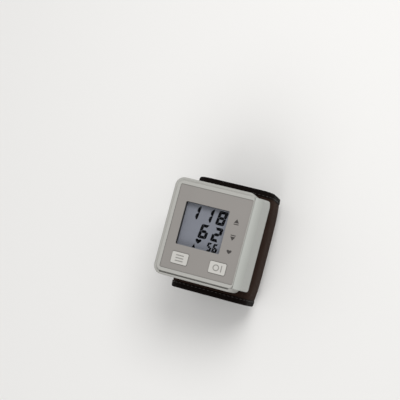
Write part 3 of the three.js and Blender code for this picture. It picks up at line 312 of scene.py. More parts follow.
moulded_plastic("case_plastic", (167, 166, 161), gloss=0.44)
moulded_plastic("cover_plastic", (168, 170, 165), gloss=0.42)
moulded_plastic("panel_plastic", (138, 134, 130), gloss=0.40, grain=0.3, grain_size=0.25)
moulded_plastic("key_plastic", (188, 186, 181), gloss=0.38, grain=0.2)
moulded_plastic("black_plastic", (26, 26, 27), gloss=0.45)
moulded_plastic("white_plastic", (214, 212, 205), gloss=0.42)
moulded_plastic("curler_plastic", (143, 143, 138), gloss=0.5)
moulded_plastic("silicone", (222, 219, 210), gloss=0.55, grain=0.1, flow=0.05)
moulded_plastic("black_rubber", (34, 33, 32), gloss=0.75, grain=0.5, grain_size=0.2)
moulded_plastic("bladder_film", (60, 56, 53), gloss=0.5, grain=0.2, grain_size=1.2)
print("plastics:", ", ".join(finishes))

# %% [markdown]
# Metal parts are plain bought ones. Zinc and tin plating have a soft brushed gloss with cloudy
# patches. The screen's glass is a flat grey-blue with a faint haze, and the lens over it is clear
# acrylic, which is a nearly see-through skin with a hard gloss. The board has fine copper tracks
# under its green mask, which are only a pattern in its finish.

# %% Metal, glass and board finishes
def plated_metal(name, color, gloss):
    tree, shader = new_finish(name, {"Metallic": 1.0})
    where = object_place(tree)
    clouds = noise(tree, where, scale=260.0, detail=4.0)
    color_by(tree, shader, clouds, color, darker=0.85, lighter=1.1)
    roughness_by(tree, shader, clouds, gloss - 0.1, gloss + 0.12, from_low=0.3, from_high=0.7)
    bump(tree, shader, noise(tree, where, scale=4000.0), strength=0.15, distance=0.02)


def display_glass():
    tree, shader = new_finish("display_glass", {"Specular IOR Level": 0.2})
    where = object_place(tree)
    clouds = noise(tree, where, scale=90.0, detail=3.0)
    color_by(tree, shader, clouds, (131, 134, 143), darker=0.96, lighter=1.05)
    roughness_by(tree, shader, noise(tree, where, scale=700.0), low=0.28, high=0.36)


def clear_lens():
    values = {"Base Color": (0.02, 0.022, 0.026, 1), "Alpha": 0.05, "Specular IOR Level": 0.5}
    tree, shader = new_finish("clear_lens", values)
    smears = noise(tree, object_place(tree), scale=120.0, detail=4.0)
    roughness_by(tree, shader, smears, low=0.03, high=0.09)


def board_laminate():
    tree, shader = new_finish("board_laminate", {"Specular IOR Level": 0.5, "Coat Weight": 0.4})
    where = object_place(tree)
    turned = add(tree, "ShaderNodeMapping", {}, {"Vector": where, "Rotation": (0, 0, math.radians(45))})
    inputs = {"Vector": turned.outputs["Vector"], "Scale": 420.0, "Mortar Size": 0.06}
    tracks = add(tree, "ShaderNodeTexBrick", {"offset": 0.5, "squash": 1.0}, inputs).outputs["Fac"]
    color_by(tree, shader, tracks, (24, 84, 52), darker=1.0, lighter=1.6)
    roughness_by(tree, shader, noise(tree, where, scale=900.0), low=0.3, high=0.42)
    bump(tree, shader, tracks, strength=0.4, distance=0.03)


plated_metal("steel", (182, 184, 186), gloss=0.32)
plated_metal("tinned_steel", (200, 195, 180), gloss=0.36)
display_glass()
clear_lens()
board_laminate()
print("finishes so far:", len(finishes))

# %% [markdown]
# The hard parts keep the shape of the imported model. Each one is copied, its doubled corners are
# merged and its flat faces are made whole, and then every sharp edge gets the small round that a
# mould or a cutter leaves.

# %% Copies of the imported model's parts
SLOT_OF = {part["node"]: part["material_slot"] for part in frame["record"]["subparts"]}
MERGE = {"copy": 0.002, "flat_degrees": 1, "carved": 0.003, "short_edge": 0.002}


def merged_copy(name, node):
    shape = open_mesh(frame["nodes"][node].data)
    bmesh.ops.remove_doubles(shape, verts=shape.verts, dist=MERGE["copy"] * MM)
    flat = math.radians(MERGE["flat_degrees"])
    bmesh.ops.dissolve_limit(shape, angle_limit=flat, verts=shape.verts, edges=shape.edges)
    return link_object(name, write_mesh(shape, bpy.data.meshes.new(name)))


def apply_modifiers(piece):
    graph = bpy.context.evaluated_depsgraph_get()
    mesh = bpy.data.meshes.new_from_object(piece.evaluated_get(graph))
    piece.modifiers.clear()
    piece.data = mesh
    return piece


def smooth_shade(piece, sharp_degrees):
    for face in piece.data.polygons:
        face.use_smooth = True
    piece.data.set_sharp_from_angle(angle=math.radians(sharp_degrees))


def slot_and_ride(piece, body):
    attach(piece, body)


print("nodes of the packed model:", len(SLOT_OF), "with", len(set(SLOT_OF.values())), "finishes")

# %% [markdown]
# The round along an edge is what catches the light. Smooth shading would bend the light on the
# flat faces beside it, so the normals are weighted by each face's area, and a flat face stays
# flat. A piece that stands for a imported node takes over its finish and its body.

# %% Round the edges of a hard part
ROUND_OVER_DEGREES = 35


def stand_for(piece, *nodes):
    slot = SLOT_OF[nodes[0]]
    piece.data.materials.clear()
    piece.data.materials.append(finishes[slot])
    slot_and_ride(piece, frame["nodes"][nodes[0]]["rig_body"])
    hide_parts(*nodes)
    return piece


def round_edges(piece, width):
    rounded = piece.modifiers.new("edge_round", "BEVEL")
    rounded.width = width * MM
    rounded.segments = 2
    rounded.limit_method = "ANGLE"
    rounded.angle_limit = math.radians(ROUND_OVER_DEGREES)
    return apply_modifiers(piece)


def drop_slivers(piece):
    shape = open_mesh(piece.data)
    bmesh.ops.remove_doubles(shape, verts=shape.verts, dist=MERGE["carved"] * MM)
    bmesh.ops.dissolve_degenerate(shape, edges=shape.edges, dist=MERGE["short_edge"] * MM)
    write_mesh(shape, piece.data)


def hard_part(node, edge_round, sharp_degrees=50, carve=None):
    piece = merged_copy(node + "_part", node)
    if carve:
        carve(piece)
        drop_slivers(piece)
    round_edges(piece, edge_round)
    drop_slivers(piece)
    smooth_shade(piece, sharp_degrees)
    piece.modifiers.new("flat_faces_stay_flat", "WEIGHTED_NORMAL").keep_sharp = True
    apply_modifiers(piece)
    return stand_for(piece, node)


# %% [markdown]
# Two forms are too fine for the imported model. A narrow groove runs along the foot of the raised
# tier on its lower side, where the photograph has a dark line: a slot with round ends is cut out
# by a boolean. And the cover's upper end runs out a little towards its back, with a round back
# corner: the end wall is cut at a few heights, and its points are moved out by a smooth rule.

# %% The case's groove and the cover's upper end
GROOVE = {"left": -26.0, "right": 22.8, "foot": 2.4, "width": 1.0, "depth": 1.2, "under_tier": 1.8}
HALF_ROUND = 0.49
FLARE = {"out": 2.2, "back_round": 3.2, "wall": 1.9, "cuts": 9, "first_turn": 0.15, "plain_cuts": 3}


def rounded_box(name, low, high, axis, radius):
    """A box whose four edges along one axis are rounded."""
    size = Vector(b - a for a, b in zip(low, high)) * MM
    middle = place(*((a + b) / 2 for a, b in zip(low, high)))
    shape = bmesh.new()
    bmesh.ops.create_cube(shape, size=1.0)
    for point in shape.verts:
        point.co = Vector(a * b for a, b in zip(point.co, size)) + middle
    ways = [(edge, (edge.verts[0].co - edge.verts[1].co).normalized()) for edge in shape.edges]
    along = [edge for edge, way in ways if abs(way[axis]) > 0.9]
    bmesh.ops.bevel(shape, geom=along, offset=radius * MM, segments=4, affect="EDGES")
    return write_mesh(shape, bpy.data.meshes.new(name))


def groove(piece):
    case_low, case_high = node_box("front_case")
    floor = case_high[2] - GROOVE["under_tier"] - GROOVE["depth"]
    foot = case_low[1] + GROOVE["foot"]
    low = (GROOVE["left"], foot - GROOVE["width"], floor)
    high = (GROOVE["right"], foot, floor + 2 * GROOVE["depth"])
    cutter = link_object("groove", rounded_box("groove", low, high, 2, HALF_ROUND * GROOVE["width"]))
    cut = piece.modifiers.new("groove", "BOOLEAN")
    cut.operation = "DIFFERENCE"
    cut.solver = "EXACT"
    cut.object = cutter
    apply_modifiers(piece)
    bpy.data.objects.remove(cutter)


def flare_levels(low_z, high_z):
    turns = np.linspace(FLARE["first_turn"], math.pi / 2, FLARE["cuts"])
    round_levels = low_z + FLARE["back_round"] * (1 - np.sin(turns))
    plain_levels = np.linspace(low_z + FLARE["back_round"], high_z, FLARE["plain_cuts"] + 2)[1:-1]
    return [*round_levels, *plain_levels]


def flare_end(piece):
    low, high = node_box("battery_cover")
    shape = open_mesh(piece.data)
    for level in flare_levels(low[2], high[2]):
        everything = shape.verts[:] + shape.edges[:] + shape.faces[:]
        bmesh.ops.bisect_plane(shape, geom=everything, plane_co=place(0, 0, level), plane_no=(0, 0, 1))
    for point in shape.verts:
        if point.co.y < (high[1] - FLARE["wall"]) * MM:
            continue
        above = point.co.z / MM - low[2]
        out = FLARE["out"] * (1 - above / (high[2] - low[2]))
        within = np.clip(1 - above / FLARE["back_round"], 0, 1)
        point.co.y += out * math.sqrt(1 - within ** 2) * MM
    write_mesh(shape, piece.data)


CARVED = {"front_case": groove, "battery_cover": flare_end}
print("carved in this file:", ", ".join(CARVED))

# %% [markdown]
# Each hard part is made with the round that its size and its making ask for, in millimetres: a
# moulded housing has a fuller one than a stamped contact or a small bought part.

# %% Make the hard parts
HARD_PARTS = {
    "front_case": 0.18, "rear_case": 0.15, "battery_cover": 0.18, "front_panel": 0.1,
    "display_window": 0.1, "lcd_frame": 0.1, "lcd_glass": 0.1, "memory_button": 0.1, "power_button": 0.1,
    "cuff_nozzle": 0.1, "cuff_retainer_1": 0.08, "cuff_retainer_2": 0.08, "cuff_curler": 0.1,
    "circuit_board": 0.05, "controller_chip": 0.12, "pressure_sensor": 0.12, "buzzer": 0.15,
    "memory_switch": 0.08, "power_switch": 0.08, "memory_plunger": 0.1, "power_plunger": 0.1,
    "pump_motor": 0.15, "pump_housing": 0.12, "pump_crank": 0.08, "pump_head": 0.15,
    "exhaust_valve": 0.15, "valve_plunger": 0.08, "air_manifold": 0.1,
    "contact_strip_upper": 0.08, "contact_strip_lower": 0.08,
    "battery_contact_positive": 0.06, "battery_contact_negative": 0.06, "battery_contact_link": 0.06,
}
for node_name, node_round in HARD_PARTS.items():
    hard_part(node_name, node_round, carve=CARVED.get(node_name))

# %% [markdown]
# Digits and signs are flat prints. Each is a thin plate made from the corner points of its outline
# and laid on the face it is printed on, so it has an edge, as a film of ink has. A ring has an
# outer and an inner outline. The inks are matt, with a faint speckle.

# %% Flat marks: a helper
INK_THICKNESS = 0.03


def printed_ink(name, color, gloss, shine=0.2):
    tree, shader = new_finish(name, {"Specular IOR Level": shine})
    speckle = noise(tree, object_place(tree), scale=2600.0)
    color_by(tree, shader, speckle, color, darker=0.88, lighter=1.12)
    roughness_by(tree, shader, speckle, gloss - 0.05, gloss + 0.05)


def strip_of_faces(shape, first, second):
    for index in range(len(first)):
        after = (index + 1) % len(first)
        shape.faces.new((first[index], first[after], second[after], second[index]))


def add_plate(shape, loops, z):
    """A thin plate with one closed outline, or with an outer and an inner one for a ring."""
    levels = [[[shape.verts.new(place(x, y, level)) for x, y in loop] for loop in loops]
              for level in (z, z + INK_THICKNESS)]
    for low, high in zip(*levels):
        strip_of_faces(shape, low, high)
    for level in levels:
        if len(loops) == 1:
            shape.faces.new(level[0])
        else:
            strip_of_faces(shape, level[0], level[1])


def flat_marks(name, outlines, z, finish, body):
    shape = bmesh.new()
    for outline in outlines:
        is_ring = isinstance(outline[0], list)
        add_plate(shape, outline if is_ring else [outline], z)
    bmesh.ops.recalc_face_normals(shape, faces=shape.faces)
    piece = link_object(name, write_mesh(shape, bpy.data.meshes.new(name)))
    piece.data.materials.append(finishes[finish])
    slot_and_ride(piece, body)


printed_ink("display_ink", (5, 5, 7), 0.8, shine=0.0)
printed_ink("panel_ink", (66, 63, 61), 0.45)
printed_ink("key_ink", (136, 134, 130), 0.45)
print("inks: for the display, the panel and the keys")

# %% [markdown]
# The display shows plain seven-segment digits, as any such meter does: two tall rows and a short
# one, with a small heart beside it. A segment is a flat bar with mitred ends. The segments lean a
# little, so the outlines are drawn upright and then leant by a shear.

# %% The display's digits
SEGMENTS = {"1": "bc", "2": "abged", "5": "afgcd", "6": "afgedc", "8": "abcdefg"}
LEAN = math.tan(math.radians(6.7))
TALL = {"width": 6.1, "height": 9.6, "bar": 1.95}
SHORT = {"width": 3.5, "height": 6.0, "bar": 1.3}
DISPLAY_ROWS = [
    ("1", (-16.45, 7.4), TALL), ("1", (-7.1, 7.4), TALL), ("8", (2.1, 7.4), TALL),
    ("6", (-7.3, -3.75), TALL), ("2", (1.6, -3.75), TALL),
    ("5", (0.2, -10.95), SHORT), ("6", (4.3, -10.95), SHORT),
]
SEGMENT_GAP = 0.1
MITRE = 0.4
BEAT_MARK = {"x": -5.8, "y": -6.1, "width": 4.1, "height": 3.6}
LOW_MARK = {"x": -7.95, "y": -9.5, "width": 2.3, "height": 2.6}
MARK_LIFT = 0.01


def segment_bars(width, height, bar):
    gap, half = SEGMENT_GAP, height / 2
    cut = MITRE * bar
    top = [(cut + gap, height), (width - cut - gap, height), (width - bar - gap, height - bar),
           (bar + gap, height - bar)]
    side = [(0, height - cut), (cut, height), (bar, height - bar), (bar, half + gap + bar / 2),
            (bar / 2, half + gap), (0, half + gap)]
    middle = [(gap + bar / 2, half), (gap + bar, half + bar / 2), (width - gap - bar, half + bar / 2),
              (width - gap - bar / 2, half), (width - gap - bar, half - bar / 2), (gap + bar, half - bar / 2)]

    def turned(points, over=False, across=False):
        return [(width - x if across else x, height - y if over else y) for x, y in points]

    return {"a": top, "d": turned(top, over=True), "f": side, "b": turned(side, across=True),
            "e": turned(side, over=True), "c": turned(side, over=True, across=True), "g": middle}


def digit_outlines(digit, corner, size):
    bars = segment_bars(**size)
    return [[(corner[0] + x + y * LEAN, corner[1] + y) for x, y in bars[name]] for name in SEGMENTS[digit]]


def heart_outline(x, y, width, height, count=28):
    """The usual heart curve, which is 32 wide and 29 high before it is scaled."""
    turns = [2 * math.pi * step / count for step in range(count)]
    across = [16 * math.sin(t) ** 3 for t in turns]
    up = [13 * math.cos(t) - 5 * math.cos(2 * t) - 2 * math.cos(3 * t) for t in turns]
    return [(x + width * a / 32, y + height * (b + 2.5) / 29) for a, b in zip(across, up)]


def triangle_outline(x, y, width, height):
    return [(x - width / 2, y - height / 2), (x + width / 2, y - height / 2), (x, y + height / 2)]


def bar_outline(x, y, width, height):
    return [(x - width / 2, y - height / 2), (x + width / 2, y - height / 2),
            (x + width / 2, y + height / 2), (x - width / 2, y + height / 2)]


glass_top = node_box("lcd_glass")[1][2]
display_outlines = [outline for row in DISPLAY_ROWS for outline in digit_outlines(*row)]
display_outlines += [heart_outline(**BEAT_MARK), triangle_outline(**LOW_MARK)]
flat_marks("display_digits", display_outlines, glass_top + MARK_LIFT, "display_ink", "root")
print("display bars and marks:", len(display_outlines))

# %% [markdown]
# Three small printed signs stand beside the rows: high, low and beat. They are plain shapes with
# no words. The keys carry signs that are a little darker than the key: three lines for the stored
# readings, and a ring with a bar for on and off. Each rides on its own key.

# %% Signs on the panel and the keys
SIGN = {"x": 17.0, "width": 3.4, "height": 2.6, "line": 0.6, "triangle_off": 0.5, "line_off": 1.7}
SIGN_ROWS = {"high": 12.1, "low": 1.3, "beat": -8.1}
BEAT_HEIGHT = 2.9
KEY_SIGN = {"height": 4.4, "stroke": 0.7, "line": 5.4, "apart": 1.1}


def level_sign(row, way):
    """A triangle that points up over a line, or down under one where way is -1."""
    x, width = SIGN["x"], SIGN["width"]
    triangle = triangle_outline(x, row + way * SIGN["triangle_off"], width, way * SIGN["height"])
    return [triangle[::way], bar_outline(x, row - way * SIGN["line_off"], width, SIGN["line"])]


def ring_outline(x, y, radius, width, count=32):
    angles = [2 * math.pi * step / count for step in range(count)]
    return [[(x + reach * math.cos(angle), y + reach * math.sin(angle)) for angle in angles]
            for reach in (radius + width, radius)]


def key_middle(node):
    low, high = node_box(node)
    return (low[0] + high[0]) / 2, (low[1] + high[1]) / 2, high[2]


def memory_outlines(x, y):
    """Three lines under each other."""
    step = (KEY_SIGN["height"] - KEY_SIGN["stroke"]) / 2
    return [bar_outline(x, y + rise, KEY_SIGN["line"], KEY_SIGN["stroke"]) for rise in (-step, 0, step)]


def power_outlines(x, y):
    """A ring with a bar beside it, both of the same height."""
    height, stroke, apart = KEY_SIGN["height"], KEY_SIGN["stroke"], KEY_SIGN["apart"]
    ring = ring_outline(x - (apart + stroke) / 2, y, height / 2 - stroke, stroke)
    return [ring, bar_outline(x + (height + apart) / 2, y, stroke, height)]


beat_sign = heart_outline(SIGN["x"], SIGN_ROWS["beat"], SIGN["width"], BEAT_HEIGHT)
panel_outlines = [*level_sign(SIGN_ROWS["high"], 1), *level_sign(SIGN_ROWS["low"], -1), beat_sign]
panel_top = node_box("front_panel")[1][2]
flat_marks("panel_signs", panel_outlines, panel_top, "panel_ink", "root")
for key, outlines in {"memory": memory_outlines, "power": power_outlines}.items():
    key_x, key_y, key_top = key_middle(key + "_button")
    flat_marks(key + "_sign", outlines(key_x, key_y), key_top, "key_ink", key + "_key")
print("signs:", len(SIGN_ROWS), "on the panel and one on each key")

# %% [markdown]
# The cuff is a band that runs round a rounded box, open on the left. Its skins, tapes and
# stitches all follow one path, so the path is worked out once. A mark on it is a corner's middle
# and radius and the angle at which the band passes, and between two marks all four run evenly.
# A place on the band is then how far along it lies, how deep under its outer face, and how far
# across. Towards its rims the band draws in a little to the wrist.

# %% The cuff's path
CUFF = {
    "near_radius": 10.0, "far_radius": 16.0, "arm": 8.0, "far_end": 20.0,
    "rim_length": 19.2, "rim_fall": 0.8, "inside": 5.95,
}
cover_low, cover_high = node_box("cuff_outer_cover")
rim = node_box("cuff_binding_top")[1][1]


def corner(way, radius, z):
    wall = cover_high[0] if way > 0 else cover_low[0]
    return (wall - way * radius, z, radius)


near_z = cover_high[2] - CUFF["near_radius"]
NEAR_LEFT = corner(-1, CUFF["near_radius"], near_z)
NEAR_RIGHT = corner(1, CUFF["near_radius"], near_z)
FAR_RIGHT = corner(1, CUFF["far_radius"], CUFF["far_radius"])
FAR_LEFT = corner(-1, CUFF["far_radius"], CUFF["far_radius"])


def make_path(*marks):
    stations = np.array([(*middle, math.radians(degrees)) for middle, degrees in marks])
    x, z, radius, angle = stations.T
    ends = np.stack([x + radius * np.cos(angle), z + radius * np.sin(angle)], axis=1)
    straight = np.linalg.norm(np.diff(ends, axis=0), axis=1)
    bend = radius[1:] * np.abs(np.diff(angle))
    return np.concatenate([[0], np.cumsum(np.where(bend > 0, bend, straight))]), stations


def path_points(path, run, deep, across):
    x, z, radius, angle = (np.interp(run, path[0], column) for column in path[1].T)
    reach = radius - deep
    parts = np.broadcast_arrays(x + reach * np.cos(angle), across, z + reach * np.sin(angle))
    return np.stack(parts, axis=-1)


def way_out(path, run):
    """The direction square to the band, out of its loop, at each place along it."""
    angle = np.interp(run, path[0], path[1][:, 3])
    return np.stack([np.cos(angle), np.zeros_like(angle), np.sin(angle)], axis=-1)


def fall(across):
    past = np.maximum(np.abs(across) - (rim - CUFF["rim_length"]), 0)
    return CUFF["rim_fall"] * (past / CUFF["rim_length"]) ** 2


arm_end = (NEAR_LEFT[0], near_z - CUFF["arm"], CUFF["near_radius"])
BAND = make_path(
    (arm_end, 180), (NEAR_LEFT, 180), (NEAR_LEFT, 90), (NEAR_RIGHT, 90), (NEAR_RIGHT, 0),
    (FAR_RIGHT, 0), (FAR_RIGHT, -90), (FAR_LEFT, -90), (FAR_LEFT, CUFF["far_end"] - 180))
band_length = BAND[0][-1]
print("the band is", round(band_length, 1), "mm long and", round(2 * rim, 1), "mm wide")

# %% [markdown]
# Cloth needs a pattern that bends with it, so each cloth piece carries its own UV map, which is
# simply the distance along and across the cloth in metres. A weave of a given pitch then has the
# same size everywhere. The grid helper makes a sheet from rows of points and lays this map.

# %% Sheets with a measured map
def lay_map(mesh, values):
    layer = mesh.uv_layers.new(name="cloth_run")
    corners = np.zeros(len(mesh.loops), dtype=np.int32)
    mesh.loops.foreach_get("vertex_index", corners)
    layer.data.foreach_set("uv", values[corners].astype(np.float32).ravel())


def grid_faces(rows, columns, closed_rows=False):
    index = np.arange(rows * columns).reshape(rows, columns)
    if closed_rows:
        index = np.concatenate([index, index[:, :1]], axis=1)
    faces = np.stack([index[:-1, :-1], index[1:, :-1], index[1:, 1:], index[:-1, 1:]], axis=-1)
    return faces.reshape(-1, 4).tolist()


def run_lengths(points):
    middle = points[:, points.shape[1] // 2]
    return np.concatenate([[0], np.cumsum(np.linalg.norm(np.diff(middle, axis=0), axis=1))])


def sheet_mesh(name, points, flip=False):
    rows, columns = points.shape[:2]
    faces = grid_faces(rows, columns)
    if flip:
        faces = [face[::-1] for face in faces]
    mesh = mesh_of(name, points, faces=faces)
    runs = np.repeat(run_lengths(points), columns)
    lay_map(mesh, np.stack([runs, points[..., 1].ravel()], axis=1) * MM)
    return mesh


# %% [markdown]
# A cloth's pattern is worked out as a height along the measured map: waves for threads and ribs,
# and noise for fibres. A little arithmetic between nodes is enough for that.

# %% Helpers for cloth patterns
def cloth_run(tree):
    return add(tree, "ShaderNodeUVMap", {"uv_map": "cloth_run"}).outputs["UV"]


def stretched(tree, coordinates, scale):
    return add(tree, "ShaderNodeMapping", {}, {"Vector": coordinates, "Scale": scale}).outputs["Vector"]


def math_node(tree, operation, *values):
    inputs = dict(enumerate(values))
    return add(tree, "ShaderNodeMath", {"operation": operation}, inputs).outputs["Value"]


def times(tree, first, second):
    return math_node(tree, "MULTIPLY", first, second)


def waves(tree, length, pitch):
    return math_node(tree, "SINE", times(tree, length, 2 * math.pi / (pitch * MM)))


# %% [markdown]
# The cuff's outer face is a brushed loop fabric, so that the hook pad can grip it: a dark brown
# nap of tiny loops with a soft sheen. Its lining is a smooth, close weave. The rims are bound with
# ribbed tape. All of them are nearly black, so what shows them is their bump and their sheen. Each
# pattern is a height first, and the bump and the shades of colour both follow that height.

# %% Fabric finishes
RIB_PITCH = 0.75


def loop_fabric():
    values = {"Roughness": 0.95, "Specular IOR Level": 0.1, "Sheen Weight": 0.1, "Sheen Roughness": 0.5,
              "Sheen Tint": linear((140, 108, 90))}
    tree, shader = new_finish("cuff_fabric", values)
    where = cloth_run(tree)
    loops = add(tree, "ShaderNodeTexVoronoi", {"feature": "F1"}, {"Vector": where, "Scale": 1700.0})
    fibres = noise(tree, stretched(tree, where, (1.0, 0.35, 1.0)), scale=5200.0)
    nap = math_node(tree, "SUBTRACT", fibres, loops.outputs["Distance"])
    base = linear((41, 28, 22))
    pile = tint(tree, between(tree, nap, 0.0, 1.0, -0.4, 0.7), shade(base, 0.55), shade(base, 1.35))
    worn = between(tree, noise(tree, where, scale=70.0, detail=3.0), 0.0, 0.35, 0.35, 0.7)
    tree.links.new(tint(tree, worn, pile, shade(base, 1.5)), shader.inputs["Base Color"])
    bump(tree, shader, nap, strength=0.8, distance=0.25)


def woven_fabric(name, color, pitch, strength):
    values = {"Specular IOR Level": 0.3, "Sheen Weight": 0.15, "Sheen Roughness": 0.4}
    tree, shader = new_finish(name, values)
    where = cloth_run(tree)
    parts = add(tree, "ShaderNodeSeparateXYZ", {}, {"Vector": where}).outputs
    weave = times(tree, waves(tree, parts["X"], 2 * pitch), waves(tree, parts["Y"], 2 * pitch))
    fibres = noise(tree, where, scale=4200.0)
    height = math_node(tree, "ADD", weave, times(tree, fibres, 0.6))
    color_by(tree, shader, between(tree, height, 0.0, 1.0, -0.8, 1.4), color, darker=0.6, lighter=1.4)
    roughness_by(tree, shader, fibres, low=0.7, high=0.9, from_low=0.3, from_high=0.7)
    bump(tree, shader, height, strength, 0.12)


def ribbed_tape():
    tree, shader = new_finish("binding_tape", {"Specular IOR Level": 0.05})
    where = cloth_run(tree)
    parts = add(tree, "ShaderNodeSeparateXYZ", {}, {"Vector": where}).outputs
    fibres = noise(tree, stretched(tree, where, (0.4, 1.0, 1.0)), scale=5200.0)
    height = math_node(tree, "ADD", waves(tree, parts["X"], RIB_PITCH), times(tree, fibres, 0.8))
    color_by(tree, shader, between(tree, height, 0.0, 1.0, -1.0, 1.6), (14, 8, 6), darker=0.6, lighter=1.5)
    roughness_by(tree, shader, fibres, low=0.6, high=0.8, from_low=0.3, from_high=0.7)
    bump(tree, shader, height, strength=0.7, distance=0.12)


def sewing_thread(name, color):
    tree, shader = new_finish(name, {"Sheen Weight": 0.2, "Specular IOR Level": 0.35})
    strands = noise(tree, object_place(tree), scale=3600.0, detail=1.0)
    color_by(tree, shader, strands, color, darker=0.7, lighter=1.3)
    roughness_by(tree, shader, strands, low=0.5, high=0.7)
    bump(tree, shader, strands, strength=0.4, distance=0.08)


loop_fabric()
woven_fabric("lining_fabric", (33, 29, 27), pitch=0.5, strength=0.5)
woven_fabric("hook_tape", (30, 28, 27), pitch=0.8, strength=0.4)
ribbed_tape()
sewing_thread("cuff_thread", (43, 35, 30))
moulded_plastic("hook_nylon", (40, 37, 35), gloss=0.35, grain=0.1)
print("finishes now:", len(finishes))

# %% [markdown]
# The cuff is a soft pad: air and foam push its skins out between the bound rims. Blender's Cloth
# does the same with pressure. Each skin starts as a smooth sheet, a little slack, and is held
# where something holds the real one: under the tapes, at its ends, under the case, under the
# tail and where it lies on the table. The solver works on a copy ten times the size, where its
# usual stiffness suits the sheet, and then no point may move further than a real pad bulges.

# %% Blow up a skin
CLOTH_SCALE = 10.0
CLOTH_FRAMES = 20
CLOTH = {
    "quality": 6, "mass": 0.15, "tension_stiffness": 12, "compression_stiffness": 12, "shear_stiffness": 4,
    "bending_stiffness": 0.3, "vertex_group_mass": "held", "use_pressure": True,
}
STILL = 1e-9


def cloth_copy(mesh, held, pressure, slack):
    body = mesh.copy()
    body.transform(Matrix.Scale(CLOTH_SCALE, 4))
    copy = link_object("cloth_copy", body)
    pinned = copy.vertex_groups.new(name="held")
    pinned.add([int(index) for index in np.flatnonzero(held)], 1.0, "REPLACE")
    settings = copy.modifiers.new("cloth", "CLOTH").settings
    for name, value in {**CLOTH, "shrink_min": -slack, "uniform_pressure_force": pressure}.items():
        setattr(settings, name, value)
    settings.effector_weights.gravity = 0
    return copy


def solved_points(copy):
    scene = bpy.context.scene
    scene.frame_start, scene.frame_end = 1, CLOTH_FRAMES
    for moment in range(1, CLOTH_FRAMES + 1):
        scene.frame_set(moment)
    solved = copy.evaluated_get(bpy.context.evaluated_depsgraph_get()).to_mesh()
    points = np.array([vertex.co for vertex in solved.vertices]) / CLOTH_SCALE
    scene.frame_set(1)
    bpy.data.objects.remove(copy)
    return points


def blow_up(mesh, held, pressure, slack, most, backed=None):
    """Swell a sheet; backed holds, for each point, the way in which something solid backs it."""
    start = np.array([vertex.co for vertex in mesh.vertices])
    moved = solved_points(cloth_copy(mesh, held, pressure, slack)) - start
    if backed is not None:
        moved -= np.maximum((moved * backed).sum(axis=1, keepdims=True), 0) * backed
    far = np.linalg.norm(moved, axis=1, keepdims=True)
    kept = most * MM * np.tanh(far / (most * MM))
    blown = start + moved * np.divide(kept, far, out=np.zeros_like(far), where=far > STILL)
    mesh.vertices.foreach_set("co", blown.astype(np.float32).ravel())
    mesh.update()
    print(mesh.name, "would bulge", round(float(far.max()) / MM, 2), "mm and may bulge", most, "mm")


def finish_skin(node, mesh, thickness):
    piece = link_object(mesh.name, mesh)
    wall = piece.modifiers.new("wall", "SOLIDIFY")
    wall.thickness = thickness * MM
    wall.offset = -1
    finer = piece.modifiers.new("finer", "SUBSURF")
    finer.levels = finer.render_levels = 1
    apply_modifiers(piece)
    smooth_shade(piece, sharp_degrees=60)
    stand_for(piece, node)


# %% [markdown]
# The outer skin runs from inside one end of the band, over that end, round the whole loop and
# in again at the other end, so its first and last rows are the hems, which the end tapes hide.

# %% Outer skin of the cuff
SHEET_STEP = 1.5
OUTER_THICKNESS = 1.0
TAPE_WIDTH = 4.3
RIM_INSET = 0.85
tape_lap = rim - TAPE_WIDTH
skin_rim = rim - RIM_INSET
HEM = [(1.9, 5.95), (1.1, 5.95), (0.65, 5.75), (0.5, 5.3), (0.5, 3.9), (0.5, 2.4), (0.5, 0.7),
       (0.65, 0.2), (1.1, 0.0)]
HEM_TO = 2.0
HELD = {
    "past_tape_lap": 0.2, "end": 2.5, "table": 0.9, "case_above": 45.2, "case_left_of": 24.5,
    "tail_half": 33.5, "tail_left_of": -19.5, "tail_seam_below": 12.5, "hook_pad": (26, 44),
}


def skin_rows():
    run_count = round((band_length - 2 * HEM_TO) / SHEET_STEP)
    outer = [(run, 0.0) for run in np.linspace(HEM_TO, band_length - HEM_TO, run_count)]
    far_hem = [(band_length - run, deep) for run, deep in reversed(HEM)]
    return np.array(HEM + outer + far_hem)


def outer_held(points, run):
    x, y, z = points[..., 0], np.abs(points[..., 1]), points[..., 2]
    ends = (run < HELD["end"]) | (run > band_length - HELD["end"])
    under_case = (z > HELD["case_above"]) & (x < HELD["case_left_of"])
    touched = (z > HELD["hook_pad"][0]) & (z < HELD["hook_pad"][1]) | (z < HELD["tail_seam_below"])
    under_tail = (y < HELD["tail_half"]) & (x < HELD["tail_left_of"]) & touched
    return (y > tape_lap + HELD["past_tape_lap"]) | ends | under_case | under_tail | (z < HELD["table"])


across = np.linspace(-skin_rim, skin_rim, round(2 * skin_rim / SHEET_STEP))
outer_run, outer_deep = np.hsplit(skin_rows(), 2)
outer_points = path_points(BAND, outer_run, outer_deep + fall(across), across)
outer_mesh = sheet_mesh("cuff_outer_skin", outer_points)
blow_up(outer_mesh, outer_held(outer_points, outer_run).ravel(), pressure=6.0, slack=0.004, most=1.25)
finish_skin("cuff_outer_cover", outer_mesh, OUTER_THICKNESS)
print("outer skin:", len(outer_mesh.vertices), "points")

# %% [markdown]
# The lining is slacker, because the band's inner corners are tight, and the cloth gathers there
# in small folds across the band. It bulges in towards the wrist, so its face is turned inwards.
# The bladder lies right behind it, so no point of it may move out through the bladder.

